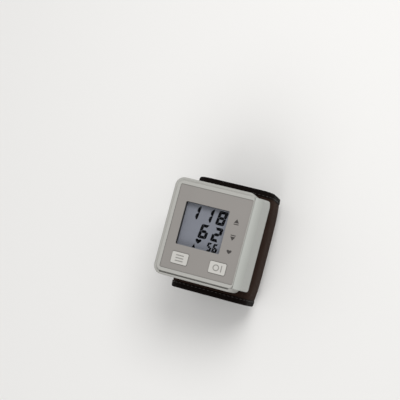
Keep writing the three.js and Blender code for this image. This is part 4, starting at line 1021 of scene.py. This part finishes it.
# %% Lining of the cuff
LINING_STEP = 1.2
LINING_HEM = 1.55
LINING_THICKNESS = 0.7
lining_run = np.linspace(LINING_HEM, band_length - LINING_HEM, round(band_length / LINING_STEP))
lining_points = path_points(BAND, lining_run[:, None], CUFF["inside"] + fall(across), across)
lining_mesh = sheet_mesh("cuff_lining_skin", lining_points, flip=True)
lining_held = np.abs(lining_points[..., 1]) > tape_lap + HELD["past_tape_lap"]
lining_held[:2] = lining_held[-2:] = True
bladder_way = np.repeat(way_out(BAND, lining_run), len(across), axis=0)
blow_up(lining_mesh, lining_held.ravel(), pressure=1.2, slack=0.05, most=1.2, backed=bladder_way)
finish_skin("cuff_lining", lining_mesh, LINING_THICKNESS)
print("lining:", len(lining_mesh.vertices), "points")

# %% [markdown]
# Between the two skins lies the air bladder, a flat welded bag of film. It can't be seen, so it
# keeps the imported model's shape with soft edges.

# %% Air bladder
hard_part("air_bladder", edge_round=0.6, sharp_degrees=70)

# %% [markdown]
# A tape is folded over each end of the band and then over each rim, and sewn through. It is
# modelled directly: one closed section with rounded folds, swept along the path or across it. A
# section is walked point by point from its outer lap round the edge to its inner lap, as reach and
# depth, where the reach is zero at the edge and less than zero on the band.

# %% Section of a tape
RIM_TAPE = {"width": TAPE_WIDTH, "thickness": 0.4, "stand": 0.1, "bend": 1.1}
END_TAPE = {"width": 2.3, "thickness": 0.3, "stand": 0.02, "bend": 0.9}
LAP_EDGE = {"tucked": 0.6, "lifted": 0.15, "from": 0.15, "to": 0.5}
FOLD_SWELL = {"before": 0.6, "out": 0.03, "edge": 0.02}


def round_corner(middle, radius, from_degrees, to_degrees, count=5):
    angles = np.radians(np.linspace(from_degrees, to_degrees, count))
    return [(middle[0] + radius * math.sin(angle), middle[1] - radius * math.cos(angle)) for angle in angles]


def tape_section(width, thickness, stand, bend):
    lap, out, inn = -width, -stand - thickness, CUFF["inside"] + stand + thickness
    tucked, lifted = LAP_EDGE["tucked"] * thickness, LAP_EDGE["lifted"] * thickness
    edge, flat, swell = lap + LAP_EDGE["from"], lap + LAP_EDGE["to"], FOLD_SWELL["out"]
    before_fold = -bend - FOLD_SWELL["before"]
    outer = [(lap, out + tucked), (edge, out + lifted), (flat, out), (before_fold, out - swell)]
    outer += round_corner((-bend, out + bend), bend, 0, 90)
    outer += [(FOLD_SWELL["edge"], (out + inn) / 2)]
    outer += round_corner((-bend, inn - bend), bend, 90, 180)
    outer += [(before_fold, inn + swell), (flat, inn), (edge, inn - lifted), (lap, inn - tucked)]
    inner = [(lap, inn - thickness), (-bend, inn - thickness), (-thickness, inn - bend),
             (-thickness, out + bend), (-bend, out + thickness), (lap, out + thickness)]
    return np.array(outer + inner)


def tube_mesh(name, points, runs, section_run):
    """A closed skin over rows of closed sections, with a face on each end."""
    rows, columns = points.shape[:2]
    faces = grid_faces(rows, columns, closed_rows=True)
    faces += [list(range(columns)), list(range((rows - 1) * columns, rows * columns))]
    mesh = mesh_of(name, points, faces=faces)
    lay_map(mesh, np.stack([np.repeat(runs, columns), section_run], axis=1) * MM)
    shape = open_mesh(mesh)
    bmesh.ops.recalc_face_normals(shape, faces=shape.faces)
    return write_mesh(shape, mesh)


def tape_piece(name, points, runs, section):
    steps = np.linalg.norm(np.diff(section, axis=0), axis=1)
    round_section = np.tile(np.concatenate([[0], np.cumsum(steps)]), len(runs))
    piece = round_edges(link_object(name, tube_mesh(name, points, runs, round_section)), width=0.1)
    smooth_shade(piece, sharp_degrees=70)
    return piece


print("points in a tape's section:", len(tape_section(**RIM_TAPE)))

# %% [markdown]
# A rim tape runs along the whole band, and its section is swept along the band's path. It has a
# slight ripple, because a sewn tape never runs quite true: a few waves of different lengths, with
# heights and phases drawn from a fixed seed.

# %% Bindings on the rims
TAPE_STEP = 1.2
RIPPLE = {"height": 0.09, "edge": 1.0, "waves": range(3, 9), "turn": 3}


def ripple(run, seed):
    count = len(RIPPLE["waves"])
    phases, heights = np.random.default_rng(seed).normal(size=(2, count))
    waves_along = np.array(RIPPLE["waves"])[None, :] * 2 * math.pi / band_length
    return (np.sin(run[:, None] * waves_along + phases * RIPPLE["turn"]) * heights).sum(axis=1) / count


def rim_binding(name, way, node, seed):
    run = np.linspace(0.0, band_length, round(band_length / TAPE_STEP))
    section = tape_section(**RIM_TAPE)
    reach, deep = rim + section[:, 0], section[:, 1]
    on_band = reach < rim - RIPPLE["edge"]
    y = way * (reach + RIPPLE["height"] * ripple(run, seed)[:, None] * on_band)
    points = path_points(BAND, run[:, None], deep + fall(reach), y)
    stand_for(tape_piece(name, points, run, section), node)


rim_binding("cuff_tape_top", 1, "cuff_binding_top", 5)
rim_binding("cuff_tape_bottom", -1, "cuff_binding_bottom", 9)
print("rim tapes: 2, each", round(band_length, 1), "mm long")

# %% [markdown]
# On the real cuff the end tapes are sewn on before the rim tapes, so their ends lie inside the rim
# tapes' folds, pressed flat. Their section therefore changes from the full one to a thin one there.

# %% Bindings on the band's ends
END_STEP = 0.8
END_EDGE = 0.15
PRESSED_TAPE = {**END_TAPE, "thickness": 0.05, "stand": 0.01}
PRESSED_FROM, PRESSED_OVER = tape_lap + 0.4, 0.6


def end_binding(name, at_far_end):
    full, pressed = tape_section(**END_TAPE), tape_section(**PRESSED_TAPE)
    y = np.linspace(-skin_rim, skin_rim, round(2 * skin_rim / END_STEP))
    share = np.clip((np.abs(y) - PRESSED_FROM) / PRESSED_OVER, 0, 1)[:, None, None]
    section = full + (pressed - full) * share
    run = END_EDGE - section[..., 0]
    if at_far_end:
        run = band_length - run
    points = path_points(BAND, run, section[..., 1] + fall(y)[:, None], y[:, None])
    piece = tape_piece(name, points, y, full)
    piece.data.materials.append(finishes["binding_tape"])
    slot_and_ride(piece, "root")


end_binding("cuff_tape_near_end", False)
end_binding("cuff_tape_far_end", True)
print("end tapes: 2, each", round(2 * skin_rim, 1), "mm long")

# %% [markdown]
# The tail is a flat strap of the same loop fabric, sewn to the band at its low end and closed on
# it with a hook pad. It is modelled directly, as rows of one closed section: two faces that meet
# in a round edge. Its tip is round, and the rows near both ends get thinner.

# %% The tail's path
TAIL = {
    "root_degrees": 229.0, "seam_degrees": 215.0, "bends_from": 219, "bends_to": 208,
    "thickness": 1.6, "tip_radius": 8.0, "start_gap": 0.2,
}
tail_low, tail_high = node_box("cuff_strap")
tail_half = tail_high[1]
tail_gap = cover_low[0] - tail_low[0] - TAIL["thickness"]
tail_tip = (NEAR_LEFT[0], tail_high[2], NEAR_LEFT[2])
TAIL_PATH = make_path(
    (FAR_LEFT, TAIL["root_degrees"]), (FAR_LEFT, TAIL["seam_degrees"]), (FAR_LEFT, 180), (tail_tip, 180))
seam_run, rise_run, tail_length = TAIL_PATH[0][1:]


def tail_inner(run):
    """How far the tail's inner face stands off the band."""
    return np.interp(run, [seam_run, rise_run], [TAIL["start_gap"], tail_gap])


def tail_reach(run):
    """Half the tail's width, which narrows round the tip."""
    past = np.clip(run - (tail_length - TAIL["tip_radius"]), 0, TAIL["tip_radius"])
    return tail_half - TAIL["tip_radius"] + np.sqrt(TAIL["tip_radius"] ** 2 - past ** 2)


print("tail:", round(tail_length, 1), "mm along, stands", round(float(tail_gap), 2), "mm off the band")

# %% [markdown]
# Rows and columns lie closer together near the tail's edges and its tip, where it is round, than
# in its flat middle. Its outer face swells a little inside the sewn line, as a quilted strap does.

# %% Tail strap
TAIL_ENDS = np.array([0.0, 0.08, 0.3, 0.7, 1.2])
TAIL_EDGE = np.array([0.0, 0.07, 0.25, 0.55, 0.9, 1.6])
TAIL_ROWS = {"from": 2.0, "step": 1.2, "round_tip": 12, "last": 0.02}
TAIL_COLUMNS = {"from": 2.6, "count": 40}
THINNEST = 0.02
QUILT = {"height": 0.12, "inset": 2.4, "slope": 2.0, "past_seam": 3, "rise": 3}


def edge_fullness(distance, radius):
    """How full a round edge is, as a share, and never quite nothing."""
    left = 1 - np.clip(distance / radius, 0.0, 1.0)
    return np.sqrt(np.clip(1 - left ** 2, THINNEST, 1.0))


def tail_rows():
    middle = np.arange(TAIL_ROWS["from"], tail_length - TAIL["tip_radius"], TAIL_ROWS["step"])
    turns = np.linspace(0, math.pi / 2, TAIL_ROWS["round_tip"])
    tip = tail_length - TAIL["tip_radius"] * (1 - np.sin(turns))
    return np.concatenate([TAIL_ENDS, middle, tip[:-1], [tail_length - TAIL_ROWS["last"]]])


def tail_across(half):
    inner = half - TAIL_COLUMNS["from"]
    middle = np.linspace(-inner, inner, TAIL_COLUMNS["count"])
    return np.concatenate([-half + TAIL_EDGE, middle, (half - TAIL_EDGE)[::-1]])


def quilted(run, room):
    """How far the outer face swells, at a run and at its distances from the strap's edge."""
    inwards = np.clip((room - QUILT["inset"]) / QUILT["slope"], 0, 1)
    return QUILT["height"] * inwards * np.clip((run - seam_run - QUILT["past_seam"]) / QUILT["rise"], 0, 1)


def tail_section(run):
    half, radius = tail_reach(run), TAIL["thickness"] / 2
    y = tail_across(half)
    room = half - np.abs(y)
    full = radius * edge_fullness(room, radius) * edge_fullness(min(run, tail_length - run), radius)
    middle = -tail_inner(run) - radius
    deep = np.concatenate([middle - full - quilted(run, room), (middle + full)[-2:0:-1]])
    return path_points(TAIL_PATH, run, deep, np.concatenate([y, y[-2:0:-1]]))


def tail_place(degrees):
    return path_points(make_path((FAR_LEFT, degrees), (FAR_LEFT, degrees - 1)), 0.0, -1.0, 0.0) * MM


def bend_with_tail(piece):
    start, end = tail_place(TAIL["bends_from"]), tail_place(TAIL["bends_to"])
    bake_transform(piece)


tail_runs = tail_rows()
tail_points = np.array([tail_section(run) for run in tail_runs])
tail_mesh = tube_mesh("tail_strap", tail_points, tail_runs, tail_points[..., 1].ravel())
tail = link_object("tail_strap", tail_mesh)
smooth_shade(tail, sharp_degrees=60)
tail.data.materials.append(finishes["cuff_fabric"])
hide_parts("cuff_strap")
bend_with_tail(tail)
print("tail strap:", len(tail.data.polygons), "faces")

# %% [markdown]
# Hooks, stitches, screws and springs repeat, so Geometry Nodes make them. Each tree takes its sizes
# and its material as named inputs, sets one small form at every point, and ends as a real mesh
# with its finish, which is then made a plain mesh without the modifier.

# %% Geometry Nodes helpers
def new_tree(name, labels):
    """A tree whose inputs are a mesh, a number for each label, and a material."""
    kinds = {"Geometry": "Geometry", **{label: "Float" for label in labels}, "Material": "Material"}
    tree = bpy.data.node_groups.new(name, "GeometryNodeTree")
    for label, kind in kinds.items():
        tree.interface.new_socket(label, in_out="INPUT", socket_type="NodeSocket" + kind)
    tree.interface.new_socket("Geometry", in_out="OUTPUT", socket_type="NodeSocketGeometry")
    return tree, add(tree, "NodeGroupInput").outputs


def end_tree(tree, points, form, material, rotation=(0, 0, 0)):
    """Set the form at every point, make it all one real mesh, and give it its finish."""
    inputs = {"Points": points, "Instance": form, "Rotation": rotation}
    shape = add(tree, "GeometryNodeInstanceOnPoints", {}, inputs).outputs["Instances"]
    for kind in ("GeometryNodeRealizeInstances", "GeometryNodeSetShadeSmooth"):
        shape = add(tree, kind, {}, {"Geometry": shape}).outputs["Geometry"]
    painted = add(tree, "GeometryNodeSetMaterial", {}, {"Geometry": shape, "Material": material})
    add(tree, "NodeGroupOutput", {}, {"Geometry": painted.outputs["Geometry"]})
    return tree


def grown(name, mesh, tree, values):
    """A plain mesh made by a tree from a start mesh."""
    piece = link_object(name, mesh)
    modifier = piece.modifiers.new("grow", "NODES")
    modifier.node_group = tree
    sockets = {item.name: item.identifier for item in tree.interface.items_tree if item.in_out == "INPUT"}
    for label, value in values.items():
        modifier[sockets[label]] = value
    piece.update_tag()
    return apply_modifiers(piece)


def vector(tree, x=0.0, y=0.0, z=0.0):
    return add(tree, "ShaderNodeCombineXYZ", {}, {"X": x, "Y": y, "Z": z}).outputs["Vector"]


def arch(tree, start, middle, end, points):
    inputs = {"Resolution": points, "Start": start, "Middle": middle, "End": end}
    return add(tree, "GeometryNodeCurveQuadraticBezier", {}, inputs).outputs["Curve"]


def spiral(tree, turns, radius, height, points):
    inputs = {"Resolution": points, "Rotations": turns, "Height": height,
              "Start Radius": radius, "End Radius": radius}
    return add(tree, "GeometryNodeCurveSpiral", {}, inputs).outputs["Curve"]


def wire(tree, curve, thickness, sides):
    inputs = {"Resolution": sides, "Radius": times(tree, thickness, 0.5)}
    section = add(tree, "GeometryNodeCurvePrimitiveCircle", {}, inputs)
    inputs = {"Curve": curve, "Profile Curve": section.outputs["Curve"], "Fill Caps": True}
    return add(tree, "GeometryNodeCurveToMesh", {}, inputs).outputs["Mesh"]


# %% [markdown]
# The hook pad is a strip of woven tape with rows of tiny nylon hooks. A grid gives the points, and
# each gets one bent wire, turned a little at random with a fixed seed.

# %% Hook pad
HOOK = {"Pitch": 1.2 * MM, "Height": 0.5 * MM, "Wire": 0.16 * MM}
HOOK_BEND = {"crown_out": 0.3, "crown_up": 1.9, "tip_up": 0.45}
HOOK_TURN = 0.5
PAD = {"backing": 0.35, "corner": 1.2, "edge": 0.08, "bare_across": 2.4, "bare_along": 2.0}
hook_low, hook_high = node_box("hook_patch")
pad_face = hook_low[0] + PAD["backing"]
pad_long = hook_high - hook_low


def hook_tree():
    tree, given = new_tree("hook_rows", ["Width", "Length", *HOOK])
    inputs = {"Size X": given["Width"], "Size Y": given["Length"],
              "Vertices X": math_node(tree, "DIVIDE", given["Width"], given["Pitch"]),
              "Vertices Y": math_node(tree, "DIVIDE", given["Length"], given["Pitch"])}
    grid = add(tree, "GeometryNodeMeshGrid", {}, inputs).outputs["Mesh"]
    height = given["Height"]
    out, up, tip_up = (times(tree, height, share) for share in HOOK_BEND.values())
    curve = arch(tree, (0, 0, 0), vector(tree, out, 0.0, up), vector(tree, height, 0.0, tip_up), points=5)
    hook = wire(tree, curve, given["Wire"], sides=4)
    inputs = {0: (0, 0, -HOOK_TURN), 1: (0, 0, HOOK_TURN), "Seed": 11}
    turn = add(tree, "FunctionNodeRandomValue", {"data_type": "FLOAT_VECTOR"}, inputs).outputs[0]
    return end_tree(tree, grid, hook, given["Material"], turn)


def pad_tape():
    high = (pad_face, hook_high[1], hook_high[2])
    mesh = rounded_box("hook_pad_tape", hook_low, high, 0, PAD["corner"])
    shape = open_mesh(mesh)
    bmesh.ops.bevel(shape, geom=shape.edges[:], offset=PAD["edge"] * MM, segments=1, affect="EDGES")
    write_mesh(shape, mesh)
    places = np.array([vertex.co for vertex in mesh.vertices])
    lay_map(mesh, places[:, [2, 1]])
    piece = link_object("hook_pad_tape", mesh)
    smooth_shade(piece, sharp_degrees=40)
    stand_for(piece, "hook_patch")


pad_tape()
hook_values = {
    "Width": (pad_long[1] - PAD["bare_across"]) * MM, "Length": (pad_long[2] - PAD["bare_along"]) * MM,
    "Material": finishes["hook_nylon"], **HOOK,
}
hooks = grown("hook_pad_hooks", bpy.data.meshes.new("hook_pad_hooks"), hook_tree(), hook_values)
to_pad = Matrix(((0, 0, 1, 0), (1, 0, 0, 0), (0, 1, 0, 0), (0, 0, 0, 1)))
hook_root = place(pad_face, 0, (hook_high[2] + hook_low[2]) / 2)
hooks.data.transform(Matrix.Translation(hook_root) @ to_pad)
slot_and_ride(hooks, "cuff_tail")
print("hooks:", len(hooks.data.polygons), "faces")

# %% [markdown]
# The tapes, the tail and the hook pad are sewn with thick thread. A row of stitches follows a
# line on the cloth. The line is a mesh of edges whose points know which way is out of the cloth,
# and Geometry Nodes lay one arched stitch at every pitch along it, square to the cloth.

# %% Stitches
STITCH = {"Pitch": 2.9 * MM, "Length": 2.2 * MM, "Thread": 0.38 * MM}
STITCH_ARCH = {"sunk": -0.75, "risen": 0.7}
SEWN_LINE = {"from_rim": 3.5, "from_end": 1.2, "points": 220}


def stitch_tree():
    tree, given = new_tree("stitch_row", STITCH)
    lines = add(tree, "GeometryNodeMeshToCurve", {}, {"Mesh": given["Geometry"]}).outputs["Curve"]
    inputs = {"Curve": lines, "Length": given["Pitch"]}
    spaced = add(tree, "GeometryNodeResampleCurve", {"mode": "LENGTH"}, inputs).outputs["Curve"]
    back, front = (times(tree, given["Length"], share) for share in (-0.5, 0.5))
    sunk, risen = (times(tree, given["Thread"], share) for share in STITCH_ARCH.values())
    start, end = vector(tree, back, 0.0, sunk), vector(tree, front, 0.0, sunk)
    curve = arch(tree, start, vector(tree, z=risen), end, points=6)
    out = add(tree, "GeometryNodeInputNamedAttribute", {"data_type": "FLOAT_VECTOR"}, {"Name": "outward"})
    along = add(tree, "GeometryNodeInputTangent").outputs["Tangent"]
    inputs = {"Vector": out.outputs["Attribute"]}
    square = add(tree, "FunctionNodeAlignRotationToVector", {"axis": "Z"}, inputs).outputs["Rotation"]
    inputs = {"Rotation": square, "Vector": along}
    turned = add(tree, "FunctionNodeAlignRotationToVector", {"axis": "X", "pivot_axis": "Z"}, inputs)
    stitch = wire(tree, curve, given["Thread"], sides=6)
    return end_tree(tree, spaced, stitch, given["Material"], turned.outputs["Rotation"])


def line_mesh(name, lines):
    """Lines as a mesh of edges; each is given by its points and by the way out of the cloth there."""
    points, outward = (np.concatenate(parts) for parts in zip(*lines))
    starts = np.cumsum([len(line[0]) for line in lines])
    edges = [(step - 1, step) for step in range(1, len(points)) if step not in starts]
    mesh = mesh_of(name, points, edges=edges)
    attribute = mesh.attributes.new("outward", "FLOAT_VECTOR", "POINT")
    attribute.data.foreach_set("vector", outward.astype(np.float32).ravel())
    return mesh


def sewn_line(path, run, deep, across, way=1.0):
    """A line on a path and the way out of the cloth along it; way is -1 on an inner face."""
    places = (np.asarray(value, dtype=float) for value in (run, deep, across))
    run, deep, across = np.broadcast_arrays(*places)
    return path_points(path, run, deep, across), way * way_out(path, run)


def sewn(name, lines):
    return grown(name, line_mesh(name, lines), stitches, {**STITCH, "Material": finishes["cuff_thread"]})


stitches = stitch_tree()
tape_runs = np.linspace(SEWN_LINE["from_end"], band_length - SEWN_LINE["from_end"], SEWN_LINE["points"])
sewn_at = rim - SEWN_LINE["from_rim"]
tape_face = RIM_TAPE["stand"] + RIM_TAPE["thickness"]
tape_lines = []
for side in (-1, 1):
    inner_face = CUFF["inside"] + fall(sewn_at) + tape_face
    tape_lines.append(sewn_line(BAND, tape_runs, fall(sewn_at) - tape_face, side * sewn_at))
    tape_lines.append(sewn_line(BAND, tape_runs, inner_face, side * sewn_at, -1.0))
tape_stitches = sewn("tape_stitches", tape_lines)
slot_and_ride(tape_stitches, "root")
print("tape stitches:", len(tape_stitches.data.polygons), "faces")

# %% [markdown]
# One row of stitches runs round the tail, near its edge, and two cross it at its seam. Another
# row runs round the hook pad, and turns with it.

# %% Stitches on the tail
TAIL_SEAM = {"inset": 2.2, "root": 1.4, "before_seam": 1.0, "side": 40, "bend": 9, "across": 60}
PAD_SEAM = {"inset": 0.7, "points": 24}


def tail_outline():
    """The sewn line round the tail, as runs and places across, from its root round the tip."""
    corner_run, radius = tail_length - TAIL["tip_radius"], TAIL["tip_radius"] - TAIL_SEAM["inset"]
    angles = np.linspace(0, math.pi / 2, TAIL_SEAM["bend"])
    side_runs = np.linspace(TAIL_SEAM["root"], corner_run, TAIL_SEAM["side"])
    side = np.stack([side_runs, np.full_like(side_runs, tail_half - TAIL_SEAM["inset"])], axis=1)
    middle = tail_half - TAIL["tip_radius"]
    bend = np.stack([corner_run + radius * np.sin(angles), middle + radius * np.cos(angles)], axis=1)
    half = np.concatenate([side, bend[1:]])
    return np.concatenate([half, (half * (1, -1))[::-1]])


def on_tail(run, y):
    return sewn_line(TAIL_PATH, run, -tail_inner(run) - TAIL["thickness"], y)


def pad_line():
    y = hook_high[1] - PAD_SEAM["inset"]
    low, high = hook_low[2] + PAD_SEAM["inset"], hook_high[2] - PAD_SEAM["inset"]
    corners = np.array([(pad_face, -y, low), (pad_face, y, low), (pad_face, y, high), (pad_face, -y, high)])
    sides = zip(corners, np.roll(corners, -1, axis=0))
    points = np.concatenate([np.linspace(a, b, PAD_SEAM["points"])[:-1] for a, b in sides])
    return points, np.tile([1.0, 0.0, 0.0], (len(points), 1))


tail_inset = tail_half - TAIL_SEAM["inset"]
seam_across = np.linspace(-tail_inset, tail_inset, TAIL_SEAM["across"])
crossings = (TAIL_SEAM["root"], seam_run - TAIL_SEAM["before_seam"])
tail_lines = [on_tail(*tail_outline().T), *(on_tail(run, seam_across) for run in crossings)]
tail_stitches = sewn("tail_stitches", tail_lines)
bend_with_tail(tail_stitches)
pad_stitches = sewn("pad_stitches", [pad_line()])
slot_and_ride(pad_stitches, "cuff_tail")
print("tail stitches:", len(tail_stitches.data.polygons) + len(pad_stitches.data.polygons), "faces")

# %% [markdown]
# Four screws close the case from behind. Each has a pan head with a cross recess and a coarse
# thread for plastic. The head is built from a few simple solids: a crown is joined to a plate, and
# two crossed blades are cut out of it.

# %% A screw's head
SCREW = {
    "Head radius": 2.0 * MM, "Head height": 1.4 * MM, "Shank radius": 0.85 * MM, "Length": 16.0 * MM,
    "Slot": 0.5 * MM, "Depth": 0.9 * MM, "Thread pitch": 1.0 * MM,
}
CROWN = {"top": 0.98, "bottom": 0.82, "depth": 0.35, "lower": -0.25, "sides": 32}
CROSS = {"reach": 1.25, "first": 2.0, "second": 2.1}


def lifted(tree, geometry, z):
    inputs = {"Geometry": geometry, "Translation": vector(tree, z=z)}
    return add(tree, "GeometryNodeTransform", {}, inputs).outputs["Geometry"]


def cylinder(tree, radius, depth, base, sides):
    inputs = {"Vertices": sides, "Radius": radius, "Depth": depth}
    made = add(tree, "GeometryNodeMeshCylinder", {}, inputs).outputs["Mesh"]
    return lifted(tree, made, math_node(tree, "ADD", times(tree, depth, 0.5), base))


def combined(tree, operation, first, others):
    made = add(tree, "GeometryNodeMeshBoolean", {"operation": operation})
    if operation == "DIFFERENCE":
        tree.links.new(first, made.inputs["Mesh 1"])
    for part in others if operation == "DIFFERENCE" else [first, *others]:
        tree.links.new(part, made.inputs["Mesh 2"])
    return made.outputs["Mesh"]


def screw_head(tree, given):
    radius, height = given["Head radius"], given["Head height"]
    inputs = {"Vertices": CROWN["sides"], "Depth": times(tree, height, CROWN["depth"]),
              "Radius Top": times(tree, radius, CROWN["top"]),
              "Radius Bottom": times(tree, radius, CROWN["bottom"])}
    crown = add(tree, "GeometryNodeMeshCone", {"fill_type": "NGON"}, inputs).outputs["Mesh"]
    lower = times(tree, height, CROWN["lower"])
    plate = cylinder(tree, radius, height, 0.0, CROWN["sides"])
    pan = combined(tree, "UNION", plate, [lifted(tree, crown, lower)])
    reach, slot = times(tree, radius, CROSS["reach"]), given["Slot"]
    blades = []
    for x, y, deep in ((reach, slot, CROSS["first"]), (slot, reach, CROSS["second"])):
        size = vector(tree, x, y, times(tree, given["Depth"], deep))
        blade = add(tree, "GeometryNodeMeshCube", {}, {"Size": size}).outputs["Mesh"]
        blades.append(lifted(tree, blade, lower))
    return combined(tree, "DIFFERENCE", pan, blades)


print("a screw is", SCREW["Length"] / MM, "mm long under its head")

# %% [markdown]
# The thread is a spiral wire wound round the shank. One screw is set at four points, so all four
# are the same bought part.

# %% Case screws
SHANK_SIDES = 20
THREAD = {"along": 0.85, "start": 0.1, "ridge": 0.3, "points": 14}


def screw_thread(tree, given):
    along = times(tree, given["Length"], THREAD["along"])
    turns = math_node(tree, "DIVIDE", along, given["Thread pitch"])
    curve = spiral(tree, turns, given["Shank radius"], along, THREAD["points"])
    ridge = wire(tree, curve, times(tree, given["Thread pitch"], THREAD["ridge"]), sides=4)
    start = math_node(tree, "ADD", given["Head height"], times(tree, given["Length"], THREAD["start"]))
    return lifted(tree, ridge, start)


def screw_tree():
    tree, given = new_tree("case_screw", SCREW)
    head = screw_head(tree, given)
    shank = cylinder(tree, given["Shank radius"], given["Length"], given["Head height"], SHANK_SIDES)
    joined = add(tree, "GeometryNodeJoinGeometry")
    for part in (head, shank, screw_thread(tree, given)):
        tree.links.new(part, joined.inputs["Geometry"])
    return end_tree(tree, given["Geometry"], joined.outputs["Geometry"], given["Material"])


def set_at(name, nodes, points, tree, sizes):
    """Grow a form at each point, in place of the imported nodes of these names."""
    piece = grown(name, mesh_of(name, points), tree, {**sizes, "Material": finishes["steel"]})
    slot_and_ride(piece, "root")
    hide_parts(*nodes)
    print(name + ":", len(points), "with", len(piece.data.polygons), "faces")
    return piece


SCREW_NODES = [f"case_screw_{number}" for number in range(1, 5)]
crown_rise = SCREW["Head height"] / MM / 4
screw_points = []
for node_name in SCREW_NODES:
    low, high = node_box(node_name)
    screw_points.append(((low[0] + high[0]) / 2, (low[1] + high[1]) / 2, low[2] + crown_rise))
screws = set_at("case_screws", SCREW_NODES, screw_points, screw_tree(), SCREW)
smooth_shade(screws, sharp_degrees=35)

# %% [markdown]
# Two coil springs press the cells together. A spiral curve given a round section makes one coil,
# and it is set at both springs' places.

# %% Battery springs
SPRING = {"Wire": 0.5 * MM, "Radius": 3.2 * MM, "Turns": 3.5, "Height": 3.4 * MM}
SPRING_NODES = ["battery_spring_lower", "battery_spring_upper"]
COIL = {"points": 28, "sides": 10}


def spring_tree():
    tree, given = new_tree("battery_spring", SPRING)
    curve = spiral(tree, given["Turns"], given["Radius"], given["Height"], COIL["points"])
    coil = wire(tree, curve, given["Wire"], COIL["sides"])
    return end_tree(tree, given["Geometry"], coil, given["Material"], (math.radians(-90), 0, 0))


spring_points = []
for node_name in SPRING_NODES:
    low, high = node_box(node_name)
    middle = (low + high) / 2
    spring_points.append((middle[0], middle[1] - SPRING["Height"] / MM / 2, middle[2]))
set_at("battery_springs", SPRING_NODES, spring_points, spring_tree(), SPRING)

# %% [markdown]
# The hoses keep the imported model's route. Their coarse rings are merged and smoothed by one
# subdivision, with the end faces kept sharp by a crease.

# %% Hoses
HOSE_NODES = ["pump_tube", "valve_tube", "sensor_tube", "cuff_tube"]
CREASE_OVER_DEGREES = 60


def hose_part(node):
    piece = merged_copy(node + "_part", node)
    shape = open_mesh(piece.data)
    crease = shape.edges.layers.float.new("crease_edge")
    for edge in shape.edges:
        if len(edge.link_faces) == 2 and edge.calc_face_angle() > math.radians(CREASE_OVER_DEGREES):
            edge[crease] = 1.0
    write_mesh(shape, piece.data)
    finer = piece.modifiers.new("finer", "SUBSURF")
    finer.levels = finer.render_levels = 2
    apply_modifiers(piece)
    smooth_shade(piece, sharp_degrees=60)
    stand_for(piece, node)


for node_name in HOSE_NODES:
    hose_part(node_name)
print("hoses:", len(HOSE_NODES))

# %% [markdown]
# The two cells have a plain printed sleeve over a steel can. The sleeve is dark with one pale
# band near the nub, and the steel shows at both ends, so each cell's faces get one of two finishes.

# %% Battery cells
CELL_NODES = ["battery_lower", "battery_upper"]
SLEEVE_INSET = 0.5
SLEEVE_RADIUS = 4.4
BAND_HALF = 5.0


def cell_sleeve():
    values = {"Specular IOR Level": 0.5, "Coat Weight": 0.5, "Coat Roughness": 0.12}
    tree, shader = new_finish("cell_sleeve", values)
    where = object_place(tree)
    along = add(tree, "ShaderNodeSeparateXYZ", {}, {"Vector": where}).outputs["Y"]
    band = math_node(tree, "COMPARE", along, 0.0, BAND_HALF * MM)
    foil = noise(tree, where, scale=300.0, detail=3.0)
    dark, pale = linear((48, 54, 62)), linear((172, 168, 158))
    sleeve = tint(tree, foil, shade(dark, 0.9), shade(dark, 1.15))
    tree.links.new(tint(tree, band, sleeve, pale), shader.inputs["Base Color"])
    roughness_by(tree, shader, foil, low=0.3, high=0.42)


def cell_part(node):
    piece = hard_part(node, edge_round=0.2, sharp_degrees=40)
    piece.data.materials.append(finishes["steel"])
    low, high = node_box(node)
    axis = (low + high) / 2
    for face in piece.data.polygons:
        x, y, z = np.array(face.center) / MM - (axis[0], 0, axis[2])
        near_end = min(y - low[1], high[1] - y) < SLEEVE_INSET
        inside = math.hypot(x, z) < SLEEVE_RADIUS
        face.material_index = 1 if near_end or inside else 0


cell_sleeve()
for node_name in CELL_NODES:
    cell_part(node_name)
print("cells:", len(CELL_NODES))
